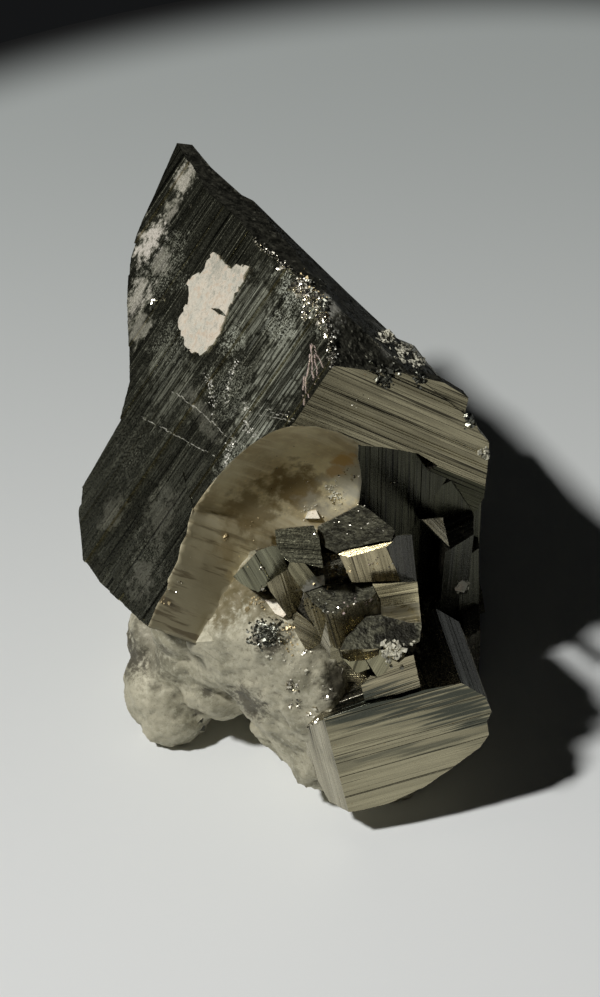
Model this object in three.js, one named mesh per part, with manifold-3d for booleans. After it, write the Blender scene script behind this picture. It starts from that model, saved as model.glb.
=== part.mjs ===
// A hand-sized pyrite specimen: one large striated crystal leaning on a core of intergrown crystals,
// hollowed out in front, with a nest of small crystals in the hollow and a block at its foot.
// Millimetres, +Z up, resting on Z = 0, the viewer's side towards -Y.
import * as THREE from "three";
import { ConvexGeometry } from "three/addons/geometries/ConvexGeometry.js";
import { mergeVertices } from "three/addons/utils/BufferGeometryUtils.js";
import Module from "manifold-3d";

const wasm = await Module();
wasm.setup();

// ---- Driving dimensions -------------------------------------------------------------------------
const FAR = 80; // longer than the whole specimen: how far a cutting block reaches
const OVERLAP = 1; // how far one prism runs on past the faces of the prisms it is crossed with
const SEED = 11;
const ORIGIN = [-1.4, 9.9, 0]; // under the middle of the specimen

// The large crystal. A turn is [tip, roll, spin] in degrees.
const GREAT = { at: [3, -1.5, 49.5], turn: [-10, 39, 16] };
const RIDGE_PITCH = 1.5; // spacing of the growth ledges on its faces
const RIDGE_DEPTH = 0.3;

// The hollow in its front, an ellipsoid in the crystal's own axes.
const HOLLOW = { at: [5.7, -6, -20.1], radii: [15.5, 12, 16.3], facets: [28, 18] };

// How far the small crystals reach into the specimen, and which way.
const FACET_DEEP = 10;
const INTO = new THREE.Vector3(0, 1, -1).normalize();

// How uneven the spacing of ledges is, the least width of the last one, and how rough a lump is, as
// parts of the mean.
const UNEVEN = [0.45, 1.55];
const LAST_LEDGE = 0.4;
const ROUGH = [0.8, 1.08];

// ---- Random numbers that come out the same each time --------------------------------------------
let state = SEED;
function random(low = 0, high = 1) {
  state = (state * 1664525 + 1013904223) % 4294967296;
  return low + ((high - low) * state) / 4294967296;
}

// ---- Solids -------------------------------------------------------------------------------------
function solid(geometry) {
  const bare = geometry.index ? geometry.toNonIndexed() : geometry.clone();
  bare.deleteAttribute("normal");
  bare.deleteAttribute("uv");
  const merged = mergeVertices(bare, 1e-4);
  return new wasm.Manifold(
    new wasm.Mesh({
      numProp: 3,
      vertProperties: merged.attributes.position.array,
      triVerts: new Uint32Array(merged.index.array),
    }),
  );
}

// Tip about X, then roll about Y, then spin about Z.
function rotation(turn) {
  const [tip, roll, spin] = turn.map(THREE.MathUtils.degToRad);
  return new THREE.Quaternion().setFromEuler(new THREE.Euler(tip, roll, spin, "ZYX"));
}

function place(made, { at, turn }) {
  const matrix = new THREE.Matrix4().compose(
    new THREE.Vector3(...at),
    rotation(turn),
    new THREE.Vector3(1, 1, 1),
  );
  return made.transform(matrix.elements);
}

// A straight prism of a closed outline, which is [x, y] along z, [y, z] along x and [x, z] along y.
function prism(outline, along, from = -FAR, to = FAR) {
  const shape = new THREE.Shape(outline.map(([u, v]) => new THREE.Vector2(u, v)));
  const geometry = new THREE.ExtrudeGeometry(shape, { depth: to - from, bevelEnabled: false });
  if (along === "x") {
    geometry.translate(0, 0, from).rotateY(Math.PI / 2).rotateX(Math.PI / 2);
  } else if (along === "y") {
    geometry.translate(0, 0, -to).rotateX(Math.PI / 2);
  } else {
    geometry.translate(0, 0, from);
  }
  return solid(geometry);
}

function hull(points) {
  return solid(new ConvexGeometry(points.map((p) => new THREE.Vector3(...p))));
}

// Everything beyond a plane, to cut away with.
function beyond({ normal, distance }) {
  const block = new THREE.BoxGeometry(FAR * 2, FAR * 2, FAR).translate(0, 0, FAR / 2 + distance);
  const up = new THREE.Vector3(0, 0, 1);
  const facing = new THREE.Quaternion().setFromUnitVectors(up, new THREE.Vector3(...normal).normalize());
  return solid(block.applyQuaternion(facing));
}

// The way from a to b in shallow ledges, cut inwards (to the left of the way) by up to depth.
function ledges(a, b, pitch, depth) {
  const length = Math.hypot(b[0] - a[0], b[1] - a[1]);
  const way = [(b[0] - a[0]) / length, (b[1] - a[1]) / length];
  const point = (s, inward) => [
    a[0] + way[0] * s - way[1] * inward,
    a[1] + way[1] * s + way[0] * inward,
  ];
  const points = [point(0, 0)];
  let inward = 0;
  const step = () => pitch * random(...UNEVEN);
  for (let s = step(); s < length - pitch * LAST_LEDGE; s += step()) {
    points.push(point(s, inward));
    inward = depth * random();
    points.push(point(s, inward));
  }
  points.push(point(length, inward));
  return points;
}

// A whole crystal about its own centre. Each pair of faces is ruled one way only, as pyrite's are.
function cube({ at, turn, size, pitch = 1.4, depth = 0.16 }) {
  const [x, y, z] = size.map((s) => s / 2);
  const rows = (h, reach) => [
    ...ledges([h, -reach], [h, reach], pitch, depth),
    ...ledges([-h, reach], [-h, -reach], pitch, depth),
  ];
  const made = prism(rows(x, y + OVERLAP), "z")
    .intersect(prism(rows(y, z + OVERLAP), "x"))
    .intersect(prism(rows(x, z + OVERLAP), "y"));
  return place(made, { at, turn });
}

// A crystal face known by its outline, [x, z] on a front or [x, y] on a top. Its sides run down and
// back into the specimen.
function facet({ at, turn, front, top }) {
  const into = INTO.clone().applyQuaternion(rotation(turn).invert()).multiplyScalar(FACET_DEEP);
  const x = new THREE.Vector3(1, 0, 0);
  const other = front ? new THREE.Vector3(0, 0, 1) : new THREE.Vector3(0, 1, 0);
  const made = front ? prism(front, "y", 0, 1) : prism(top, "z", -1, 0);
  const sides = new THREE.Matrix4();
  if (front) {
    sides.makeBasis(x, into, other);
  } else {
    sides.makeBasis(x, other, into.negate());
  }
  return place(made.transform(sides.elements), { at, turn });
}

// A rough lump of massive pyrite.
function lump({ at, radii }) {
  const ball = mergeVertices(new THREE.IcosahedronGeometry(1, 1).deleteAttribute("uv"), 1e-3);
  const points = [];
  for (let i = 0; i < ball.attributes.position.count; i++) {
    const p = new THREE.Vector3().fromBufferAttribute(ball.attributes.position, i);
    p.multiplyScalar(random(...ROUGH)).multiply(new THREE.Vector3(...radii));
    points.push(p.toArray().map((v, axis) => v + at[axis]));
  }
  return hull(points);
}

const joined = (solids) => solids.reduce((all, one) => all.add(one));

// ---- The large crystal --------------------------------------------------------------------------
// Its own axes: x to the right along the front face, y back to the far tip, z up.
const GREAT_PLAN = [
  [27, -8],
  [26, 0],
  [22.5, 8],
  [20, 13.5],
  [16, 15.5],
  [12, 20],
  [8, 26.5],
  [6, 30],
  [4, 34],
  [2.4, 39],
  [1.5, 46],
];
const GREAT_SIDE = [
  [11, -35],
  [15.5, -35.3],
  [20.5, -33],
  [23, -31],
  [23.5, -27],
  [24, -23],
  [26.5, -19.5],
  [35, -14.5],
  [39, -11.5],
  [40.5, -8.5],
  [41.5, -5],
  [43.5, 0.7],
  [43.5, 6],
];
const GREAT_CREST = [
  [-10, -60],
  [50, -60],
  [46, 0.5],
  [43.5, 0.7],
  [34, 0.2],
  [26, 1.2],
  [21, 1.3],
  [12, 2.7],
  [6.5, 3.2],
  [-10, 3.2],
];
const CREST_RISE = 0.3; // the crest climbs to the right by this much a millimetre
const GREAT_BEVELS = [
  { normal: [-0.25, -0.49, 1], distance: 0 },
  { normal: [0.2, 0.045, 1], distance: 4.1 },
];
const GREAT_FRONT = [
  [-3, -40],
  [27, -40],
  [27, -9],
  [26, -8.5],
  [25.6, -6.6],
  [23.9, -3.8],
  [22, -1],
  [19.8, -0.2],
  [16.6, 2.3],
  [13.3, 2.9],
  [-3, 4],
];
const ROOF_EDGE = [
  [-8, -60],
  [60, -60],
  [60, -9.2],
  [26, -8.7],
  [21.1, -6.2],
  [17.6, -6.2],
  [18.2, -5.3],
  [15.2, -4.9],
  [11.1, -5.7],
  [8.4, -6.5],
  [5, -6.9],
  [-8, -8],
];
const BAY_WALL = [
  [5.7, -0.8],
  [18.7, 7.6],
];
const BAY_PLAN = [[5.7, -FAR], [FAR, -FAR], [FAR, 7.6], BAY_WALL[1], BAY_WALL[0]];

// A ruled shelf above the front's upper edge, set back behind it.
const SHELF_BACK = [0.35, 1.7];
const SHELF = [
  [8.5, -1],
  [17, -1],
  [17.4, 0.8],
  [16.6, 2.4],
  [13, 2.8],
  [9.5, 2.3],
  [8.5, 0.5],
];

// The lower lip of the hollow, ruled like the front.
const LIP_WIDTH = 11;
const LIP = [
  [0.2, -32.7],
  [14, -33.5],
  [10, -20],
  [5.2, -21.2],
  [4.4, -22.6],
  [3.6, -23.4],
  [3.4, -24.6],
  [2.4, -25.8],
  [1.9, -27.9],
  [1.2, -28.6],
  [1.1, -30.4],
];

// Blocks grown on its far side, all but parallel to it, in its own axes.
const GREAT_STEPS = [
  { at: [11, 20, -10], turn: [0, 0, 2], size: [12, 15, 14], pitch: 2, depth: 0.3 },
  { at: [5.6, 30, -7.6], turn: [2, -3, 0], size: [9, 10, 10], pitch: 1.6, depth: 0.2 },
  { at: [18, 12.4, -13.4], turn: [-2, 2, -4], size: [9, 13, 14], pitch: 1.8, depth: 0.25 },
  { at: [14.6, 25, -14.6], turn: [4, 0, 6], size: [8, 8, 8] },
  { at: [4, 36.4, -5.4], turn: [0, 4, -6], size: [4.4, 6, 6], pitch: 1.1 },
];

function greatCrystal() {
  const plan = [...ledges([0, 46], [0, -8], RIDGE_PITCH * 1.5, RIDGE_DEPTH), ...GREAT_PLAN];
  const side = [...ledges([0, 6], [0, -32.7], RIDGE_PITCH, RIDGE_DEPTH), ...GREAT_SIDE];
  const rising = new THREE.Matrix4().makeShear(0, CREST_RISE, 0, 0, 0, 0);
  const whole = prism(plan, "z")
    .intersect(prism(side, "x"))
    .intersect(prism(GREAT_FRONT, "y"))
    .intersect(prism(GREAT_CREST, "x").transform(rising.elements))
    .subtract(joined(GREAT_BEVELS.map(beyond)))
    .add(prism(SHELF, "y", ...SHELF_BACK))
    .add(joined(GREAT_STEPS.map(cube)));
  return place(whole, GREAT)
    .subtract(hollow())
    .add(place(prism(LIP, "x", 0, LIP_WIDTH), GREAT))
    .subtract(bay());
}

function hollow() {
  const scoop = new THREE.SphereGeometry(1, ...HOLLOW.facets);
  scoop.scale(...HOLLOW.radii).translate(...HOLLOW.at);
  return place(solid(scoop), GREAT);
}

// The bay at the right: in front of an upright wall, under the lower edge of the large crystal's front.
function bay() {
  return place(prism(ROOF_EDGE, "y"), GREAT).intersect(prism(BAY_PLAN, "z"));
}

// ---- The core that carries it -------------------------------------------------------------------
const CORE_HEIGHT = 27;
const CORE_PLAN = [
  [5, -1],
  BAY_WALL[1],
  [17.6, 11],
  [8, 20],
  [-7, 21],
  [-12, 14],
  [-11, 0],
];
const CORE_CRYSTALS = [
  { at: [4.4, 17, 22], turn: [-10, 39, 16], size: [17, 19, 17], pitch: 2.2, depth: 0.3 },
  { at: [8.6, 18, 10], turn: [2, -8, 12], size: [17, 18, 18], pitch: 2.2, depth: 0.3 },
  { at: [-3.4, 22, 9.6], turn: [-6, 8, -14], size: [14, 15, 16], pitch: 1.8 },
  { at: [-9, 12, 17], turn: [-12, 26, 20], size: [11, 15, 15], pitch: 1.8 },
  { at: [13, 13, 16.6], turn: [8, 24, 34], size: [7, 7, 8] },
  { at: [12.6, 21, 17], turn: [-14, 10, 40], size: [7.5, 7, 7] },
  { at: [4.4, 30.4, 13], turn: [10, -14, 30], size: [8, 7, 8] },
  { at: [-1.6, 28.4, 19.4], turn: [-20, 24, 4], size: [7, 8, 7] },
  { at: [-12.6, 15, 7.4], turn: [10, -18, 30], size: [8, 9, 8] },
  { at: [-14.6, 8.2, 14], turn: [-8, 20, 52], size: [6, 6, 7] },
  { at: [-10.6, 23, 5.4], turn: [4, 10, 18], size: [7, 6, 8] },
  { at: [13.8, 26, 5.6], turn: [-3, 6, 28], size: [6, 6, 9] },
  { at: [15, 14.4, 8.2], turn: [3, -8, 62], size: [7, 5, 9] },
];

function core() {
  const heart = prism(CORE_PLAN, "z", 0, CORE_HEIGHT);
  return heart.add(joined(CORE_CRYSTALS.map(cube))).subtract(hollow()).subtract(bay());
}

// ---- The upright wall of the bay ----------------------------------------------------------------
// Upright crystals side by side, each with a thin left side and a broad front turned to the right.
const WALL_CRYSTALS = [
  { at: [14.1, 2.4, 0], turn: [3, 2, 0], plan: [[0, 0], [3, 2.5], [3, 7], [-0.4, 7], [-0.5, 3]], top: 21 },
  { at: [17, 2.8, 0], turn: [-3, -2, 0], plan: [[0, 0], [2.2, 2.1], [2, 6], [-0.4, 6]], top: 17 },
  { at: [17.4, 0.4, 0], turn: [2, -1, 0], plan: [[0, 0], [1.6, 1.5], [1.6, 5], [-0.3, 5]], top: 9 },
  { at: [12.4, 1.8, 0], turn: [-4, 3, 0], plan: [[0, 0], [1.2, 0.9], [1.2, 4], [-0.3, 4]], top: 12 },
];

function column({ at, turn, plan, top }) {
  return place(prism(plan, "z", -OVERLAP, top), { at, turn });
}

// One crystal corner standing out of the wall.
const WALL_CORNER = {
  at: [14.2, -2.7, 30],
  turn: [-12, -13, -5],
  front: [[0, 0], [-2.1, 0], [0, -3.5]],
};

// ---- The block at the foot ----------------------------------------------------------------------
const FOOT = { at: [2.4, -17.8, 16.8], turn: [-8, -10, 12], deep: 12 };
const FOOT_FRONT = [
  [0, 0],
  [-1.9, -2],
  [-2.7, -7.4],
  [-1.6, -12.6],
  [1.1, -13.2],
  [4.3, -13.3],
  [8.1, -12.4],
  [11.7, -10.7],
  [14.5, -9.2],
  [15.6, -7.9],
  [15.7, -6.1],
  [16.4, -5],
  [16.1, -2.8],
  [14.1, -0.2],
  [10.4, 0.2],
  [7.9, 0.1],
  [4.8, 0.4],
];
const FOOT_PLAN = [
  [0, 0],
  [17, 0],
  [17, 12],
  [-4, 12],
  [-5, 6],
];

function foot() {
  const block = prism(FOOT_FRONT, "y", 0, FOOT.deep).intersect(prism(FOOT_PLAN, "z"));
  return place(block, FOOT);
}

// ---- The rough mass of fine-grained pyrite around the foot --------------------------------------
const MASS = [
  [-11.4, -10.6, 20.2],
  [-7, -10.8, 22.2],
  [-4.9, -12.9, 23.4],
  [-0.2, -14.4, 22.2],
  [1.8, -15, 20.6],
  [3, -16.8, 17],
  [0.5, -16.4, 14],
  [2, -15.5, 3],
  [-8, -7.5, 13],
  [-3, -7.5, 2],
  [9, -13, 0],
  [10, -6, 0],
  [10, 2, 4],
  [7, -6, 26],
  [-4, -4, 27],
  [-6, 2, 0],
  [-10, -1, 20],
];
const LUMPS = [
  { at: [-14, -2.4, 4.6], radii: [4.2, 4.4, 5.2] },
  { at: [-13, -4.6, 3.2], radii: [3.6, 3.2, 3.8] },
  { at: [-14.4, 1.4, 8.4], radii: [3.2, 4.2, 4.4] },
  { at: [-11, -3.2, 10.4], radii: [4, 3.8, 4.8] },
  { at: [-12, -4, 15.2], radii: [3, 3.4, 2.8] },
  { at: [-7, -5.4, 14.4], radii: [4.6, 4.6, 5.6] },
  { at: [-8.6, -3.2, 8.2], radii: [4.6, 5, 5.4] },
  { at: [-4.2, -3.6, 8.2], radii: [4.4, 4.4, 4.4] },
  { at: [-1.2, -6.6, 5.6], radii: [3.8, 4.2, 5.6] },
  { at: [-3.6, -10.6, 21.2], radii: [2.6, 2.8, 3.2] },
  { at: [-4.8, -8.4, 17], radii: [3.4, 3.4, 4] },
  { at: [-2, -11.6, 17], radii: [2.6, 2.8, 3.6] },
  { at: [-3.2, -9.8, 12], radii: [3, 3, 3.8] },
  { at: [0.2, -13, 12.6], radii: [2.4, 2.6, 4] },
  { at: [1.6, -13.8, 6.8], radii: [2.4, 2.6, 4.2] },
  { at: [-9.4, 3.4, 5], radii: [8, 6.6, 7] },
  { at: [8, -8.6, 2.6], radii: [7.4, 6.6, 6.2] },
];

// ---- The nest of small crystals in the hollow ---------------------------------------------------
const NEST = [
  // Dark top.
  {
    at: [3.5, -13.8, 36.3],
    turn: [0, -12, 8],
    top: [
      [-1.2, 4.1], [3.1, 5.6], [3.9, 4.8], [6, 1.1], [5.4, -0.1], [4.3, 0.2], [0.8, 0.3],
      [0, 0], [-1.2, 1.6], [-1.5, 2.8],
    ],
  },
  // Bright bevel.
  {
    at: [3.6, -13.8, 36.2],
    turn: [38, -16, 4],
    top: [[0, 0], [0.8, 0.2], [5.5, -0.1], [4.8, -0.4], [1, -0.5]],
  },
  // Front.
  {
    at: [3.8, -13.9, 36.1],
    turn: [0, -12, 8],
    front: [[0, 0], [0.7, -0.4], [4.5, -0.2], [5, -5.5], [0.4, -4]],
  },
  // Right side.
  {
    at: [8.3, -12.4, 35.9],
    turn: [0, -10, 62],
    front: [[0, 0], [1.2, -0.7], [2, -0.8], [5, -4.5], [5.1, -12.7], [2.1, -8.7]],
  },
  // Ruled block.
  {
    at: [7, -14.3, 32.6],
    turn: [0, -8, 6],
    front: [[0, 0], [4.3, -0.7], [4, -6.7], [2.9, -6.4], [0.3, -4.6], [0.5, -2.4]],
  },
  // Dark shelf.
  {
    at: [3.5, -16, 30.3],
    turn: [2, -12, 14],
    top: [
      [-2.4, 3.7], [-0.4, 4], [2.3, 3], [4.2, 2], [4.3, 0.9], [3.6, 0.4], [1, 0.5],
      [-0.1, -0.1], [-1, 0.4],
    ],
  },
  // Light block.
  {
    at: [3.5, -16, 30.3],
    turn: [0, -12, 27],
    front: [
      [-1.1, 0.8], [-0.1, -0.1], [1.1, 0.3], [3.7, -0.5], [4.4, -0.1], [4.6, -1.5],
      [4.3, -3.7], [2.8, -2.8], [1.5, -3.3], [-0.9, -5.1], [-1.5, -4],
    ],
  },
  // Grainy shelf.
  {
    at: [4, -18.2, 27.5],
    turn: [16, 0, 8],
    top: [
      [-0.1, 0], [0.6, 1.2], [2.9, 3.3], [4.4, 3.3], [7, 2.1], [8.2, 2], [7.7, 0],
      [6.5, -0.4], [5.3, 0.1], [4.2, 0.1], [3.8, -0.3],
    ],
  },
  // Fine front.
  {
    at: [4, -18.2, 27.5],
    turn: [0, 0, 10],
    front: [[-0.1, 0], [3.9, -0.6], [3.7, -1.4], [2.5, -1.9], [0.9, -1.8], [0.1, -1]],
  },
  // Left wedge.
  {
    at: [4.8, -18.9, 26.6],
    turn: [-10, 14, -14],
    front: [[-0.9, 0.1], [0, 0], [1.4, 0.8], [2.1, 0], [1.1, -1.1]],
  },
  // Right wedge.
  {
    at: [7, -18.2, 26.4],
    turn: [0, 24, 22],
    front: [[-0.5, -0.4], [0.6, 0.3], [0.4, 1.1], [2.5, -0.3], [2.5, -1.9], [1.8, -2.6]],
  },
  // Gold crystal.
  {
    at: [8.1, -18, 28],
    turn: [32, -10, 30],
    top: [[0, 0], [1, -0.4], [1.6, -1.3], [1.1, -2.1], [0.4, -2.2], [-0.1, -1.6], [-0.4, -0.6]],
  },
  // Low block.
  {
    at: [7.7, -16.3, 21.5],
    turn: [0, -15, 12],
    front: [
      [-0.7, 0.5], [-0.1, 0], [0.9, 0.3], [1.9, 1.7], [2.4, 1], [3.1, 1.4], [4, 1.4],
      [3.5, -4], [-2.1, -2.8], [-1.9, -0.5],
    ],
  },
  // Blue face.
  {
    at: [1.5, -11.2, 37.5],
    turn: [20, 0, -5],
    top: [
      [-3.9, -0.7], [-0.2, 0], [0.4, -1.1], [1.1, -4.4], [-0.7, -4], [-2.2, -4],
      [-2.9, -3.5], [-3.5, -2.5],
    ],
  },
  // Grey face.
  {
    at: [-2.2, -11.6, 35],
    turn: [0, -27, -20],
    front: [
      [-6.8, -3.1], [-2.3, -0.2], [-0.6, 0.2], [0.1, 0], [-0.2, -2.9], [-5, -5.4],
      [-6.1, -4.5],
    ],
  },
  // Long light.
  {
    at: [-1.2, -12.8, 33],
    turn: [0, -27, 28],
    front: [[-2.5, 0.4], [0.1, 0.1], [-0.2, -4.3], [-2, -6.2], [-3, -6.2]],
  },
  // Upper slant.
  {
    at: [-1.2, -12.7, 33],
    turn: [-15, -27, 20],
    front: [[0, 0], [0.6, 0.6], [1.7, -0.5], [1.8, -3.8], [-0.1, -3.3]],
  },
  // Thin strip.
  {
    at: [0.4, -13.8, 31],
    turn: [0, -27, 28],
    front: [[0, 0], [0.2, -4.8], [-1.5, -9.4], [-1.8, -7.9], [-1, -1.7]],
  },
  // Dark wedge.
  {
    at: [0, -14.2, 30],
    turn: [14, -40, 0],
    top: [[0.7, 0.8], [0.3, -0.6], [0.8, -2.8], [-0.4, -0.7]],
  },
  // Long low.
  {
    at: [0, -14.1, 27],
    turn: [0, -39, 30],
    front: [[0.8, 1.5], [0.5, -1.3], [-0.9, -6.9], [-3.1, -7.5], [-2.6, -4.8], [-0.7, 0.6]],
  },
];

const NEST_ROOT = [
  [-4.4, -8.4, 31.2],
  [-0.4, -10.8, 30.2],
  [5, -10.8, 33.2],
  [10, -10.8, 29.4],
  [10.4, -12, 13.4],
  [3, -14, 18.4],
  [3, -12.8, 25.8],
  [0.6, -11.4, 27.8],
  [-1.2, -10.4, 23.8],
  [8, -4, 30],
  [-4, -5, 28],
  [4, -4, 14],
];

// ---- The specimen -------------------------------------------------------------------------------
function specimen() {
  return greatCrystal()
    .add(core())
    .add(joined(WALL_CRYSTALS.map(column)))
    .add(facet(WALL_CORNER))
    .add(hull(MASS))
    .add(joined(LUMPS.map(lump)))
    .add(foot())
    .add(hull(NEST_ROOT))
    .add(joined(NEST.map(facet)))
    .subtract(beyond({ normal: [0, 0, -1], distance: 0 }))
    .translate(ORIGIN.map((v) => -v));
}

function mesh(name, made, material) {
  const { vertProperties, triVerts } = made.getMesh();
  const geometry = new THREE.BufferGeometry()
    .setAttribute("position", new THREE.BufferAttribute(new Float32Array(vertProperties), 3))
    .setIndex(new THREE.BufferAttribute(triVerts, 1));
  const part = new THREE.Mesh(geometry, material);
  part.name = name;
  return part;
}

const pyrite = new THREE.MeshStandardMaterial({ color: 0xbfb49a, metalness: 1, roughness: 0.3 });
const root = new THREE.Group();
root.add(mesh("pyrite_cluster", specimen(), pyrite));
export default root;
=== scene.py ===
"""The looks of the pyrite specimen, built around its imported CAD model.

The crystal surface is the CAD solid's own, with its faces cut into fine growth ledges. The rough
fine-grained pyrite, the white film and the small chips are pieces of their own on top of it.
Lengths in the mesh code are in millimetres, in the row's frame, and become metres in new_piece().
"""

import math

import bmesh
import bpy
import numpy as np
from mathutils import Matrix, Vector, geometry, noise
from mathutils.bvhtree import BVHTree


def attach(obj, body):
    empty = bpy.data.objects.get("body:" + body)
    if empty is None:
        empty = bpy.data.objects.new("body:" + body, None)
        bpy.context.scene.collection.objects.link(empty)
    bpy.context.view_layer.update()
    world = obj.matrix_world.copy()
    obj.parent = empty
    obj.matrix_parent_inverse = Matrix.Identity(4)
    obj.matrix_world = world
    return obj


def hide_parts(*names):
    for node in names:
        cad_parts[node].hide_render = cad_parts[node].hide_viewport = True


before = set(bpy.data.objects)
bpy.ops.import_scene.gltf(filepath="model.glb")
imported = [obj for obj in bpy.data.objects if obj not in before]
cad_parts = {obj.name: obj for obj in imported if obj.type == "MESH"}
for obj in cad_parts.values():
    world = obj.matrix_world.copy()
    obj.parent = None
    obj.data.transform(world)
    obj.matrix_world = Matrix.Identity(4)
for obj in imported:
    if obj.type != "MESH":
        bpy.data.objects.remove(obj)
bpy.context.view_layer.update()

MM = 0.001
NODE = "pyrite_cluster"
ORIGIN = np.array([-1.4, 9.9, 0.0])  # the row frame's origin in the frame that the places below are in
SEED = 5

# The large crystal's own axes: x right along its front, y back, z up, from the corner where its three
# main faces meet. Its left face is x = 0, ruled along z, and its front is y = 0, ruled along x.
GREAT_AT = np.array([3.0, -1.5, 49.5]) - ORIGIN
GREAT_TURN = (-10, 39, 16)
# In these axes: the hollow's middle and radii, and the box that its lip lies in.
HOLLOW_AT = np.array([5.7, -6.0, -20.1])
HOLLOW_RADII = np.array([15.5, 12.0, 16.3])
LIP_LOW = np.array([-0.5, 0.5, -33.5])
LIP_HIGH = np.array([11.5, 6.5, -20.5])
WALL_AT = 0.994  # how far out the corners of the hollow's wall lie, where 1 is its true curve
WALL_NEAR = 0.012  # how near to that a point is on the wall
LIP_UPRIGHT = 0.02  # how little the lip's face leans along the front
FOOT_TURN = (-8, -10, 12)
TINY = 1e-9


def turned(degrees):
    """The rotation of a crystal: tip about X, then roll about Y, then spin about Z."""
    tip, roll, spin = (math.radians(d) for d in degrees)
    turn = Matrix.Rotation(spin, 3, "Z") @ Matrix.Rotation(roll, 3, "Y") @ Matrix.Rotation(tip, 3, "X")
    return np.array(turn)


GREAT = turned(GREAT_TURN)


def to_great(points):
    return (np.asarray(points) - GREAT_AT) @ GREAT


def from_great(points):
    return np.asarray(points) @ GREAT.T + GREAT_AT


def unit(vectors):
    length = np.linalg.norm(vectors, axis=-1, keepdims=True)
    return vectors / np.maximum(length, 1e-12)


def dots(a, b):
    """The dot product of each row of a with the same row of b."""
    return np.einsum("ij,ij->i", a, b)


def noise_at(points, scale):
    return np.array([noise.noise(Vector(p) * scale) for p in points])


# ---- The crystals and the rough mass ------------------------------------------------------------
# Known crystals: their turn, how their faces are ruled (the face across each axis, along which axis),
# and their tint: tarnish, with painted light where it is above 1 on faces that lie in shade, and
# painted shade where it is near black on faces that mirror the shadowed floor.
CRYSTALS = [
    (GREAT_TURN, {1: 0}, (0.80, 0.775, 0.66)),
    (GREAT_TURN, {0: 2}, (0.80, 0.86, 0.80)),
    (GREAT_TURN, {2: 1}, (1.0, 1.0, 1.0)),
    (FOOT_TURN, {0: 2, 1: 0}, (0.92, 0.90, 0.78)),
    # Painted shade: nearly black, for the shadowed floor that the bay's wall mirrors.
    ((0, 0, 32.87), {1: 2}, (0.09, 0.095, 0.08)),
    # Tints above 1, here and below, are painted light on faces that lie in shade.
    ((0, -12, 8), {1: 2}, (1.15, 1.08, 0.9)),
    ((38, -16, 4), {2: 0}, (1.9, 1.75, 1.3)),
    # Painted shade: nearly black, for the shadowed floor that this face mirrors.
    ((0, -10, 62), {1: 2}, (0.14, 0.14, 0.11)),
    ((0, -8, 6), {1: 0}, (1.7, 1.62, 1.34)),
    ((0, -12, 27), {1: 2}, (1.0, 0.96, 0.82)),
    ((0, 0, 10), {1: 0}, (1.55, 1.5, 1.26)),
    ((-10, 14, -14), {1: 2}, (0.8, 0.8, 0.66)),
    ((0, 24, 22), {1: 2}, (0.8, 0.8, 0.66)),
    ((32, -10, 30), {2: 0}, (1.3, 1.2, 0.85)),
    ((0, -15, 12), {1: 0}, (1.05, 1.0, 0.86)),
    ((20, 0, -5), {2: 0}, (0.90, 0.94, 0.82)),
    ((0, -27, -20), {1: 2}, (0.52, 0.55, 0.48)),
    ((-15, -27, 20), {1: 2}, (0.85, 0.84, 0.7)),
    ((0, -39, 30), {1: 2}, (1.0, 0.95, 0.82)),
]
# Upward faces that are grainy rather than ruled.
GRAINY_TOPS = [(0, -12, 8), (2, -12, 14), (16, 0, 8)]
# The upright wall of the bay and what stands within reach of it are painted nearly black: painted shade
# for the shadowed floor that they mirror.
BAY_AT = np.array([5.7, -0.8, 0.0]) - ORIGIN
BAY_OUT = np.array([0.543, -0.840, 0.0])
BAY_REACH = (-0.5, 5.0)
BAY_TOP = 34.0
BAY_PAINTED_SHADE = (0.13, 0.14, 0.115)
# The foot's shoulder is painted nearly black as well: painted shade for the shadowed floor it mirrors.
FOOT_SHOULDER = turned(FOOT_TURN) @ (0.79, 0.0, 0.61)
SHOULDER_NEAR = 0.99  # the cosine at which a face is taken for the foot's shoulder
SHOULDER_PAINTED_SHADE = (0.08, 0.085, 0.07)
# The rough mass: its lumps, each a middle and radii, and the corners of the convex body inside them.
LUMPS = [
    ((-14, -2.4, 4.6), (4.2, 4.4, 5.2)), ((-13, -4.6, 3.2), (3.6, 3.2, 3.8)),
    ((-14.4, 1.4, 8.4), (3.2, 4.2, 4.4)), ((-11, -3.2, 10.4), (4, 3.8, 4.8)),
    ((-12, -4, 15.2), (3, 3.4, 2.8)), ((-7, -5.4, 14.4), (4.6, 4.6, 5.6)),
    ((-8.6, -3.2, 8.2), (4.6, 5, 5.4)), ((-4.2, -3.6, 8.2), (4.4, 4.4, 4.4)),
    ((-1.2, -6.6, 5.6), (3.8, 4.2, 5.6)), ((-3.6, -10.6, 21.2), (2.6, 2.8, 3.2)),
    ((-4.8, -8.4, 17), (3.4, 3.4, 4)), ((-2, -11.6, 17), (2.6, 2.8, 3.6)),
    ((-3.2, -9.8, 12), (3, 3, 3.8)), ((0.2, -13, 12.6), (2.4, 2.6, 4)),
    ((1.6, -13.8, 6.8), (2.4, 2.6, 4.2)), ((-9.4, 3.4, 5), (8, 6.6, 7)),
    ((8, -8.6, 2.6), (7.4, 6.6, 6.2)),
]
MASS = [
    (-11.4, -10.6, 20.2), (-4.9, -12.9, 23.4), (-0.2, -14.4, 22.2), (1.8, -15, 20.6), (3, -16.8, 17),
    (0.5, -16.4, 14), (2, -15.5, 3), (-3, -7.5, 2), (9, -13, 0), (10, -6, 0), (10, 2, 4), (7, -6, 26),
    (-4, -4, 27), (-6, 2, 0), (-10, -1, 20),
]
MASS_NEAR = 0.15  # mm, how near the mass a face is part of it
MASS_SINK = 0.35  # mm, how far such a face is lowered under the crust


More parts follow.
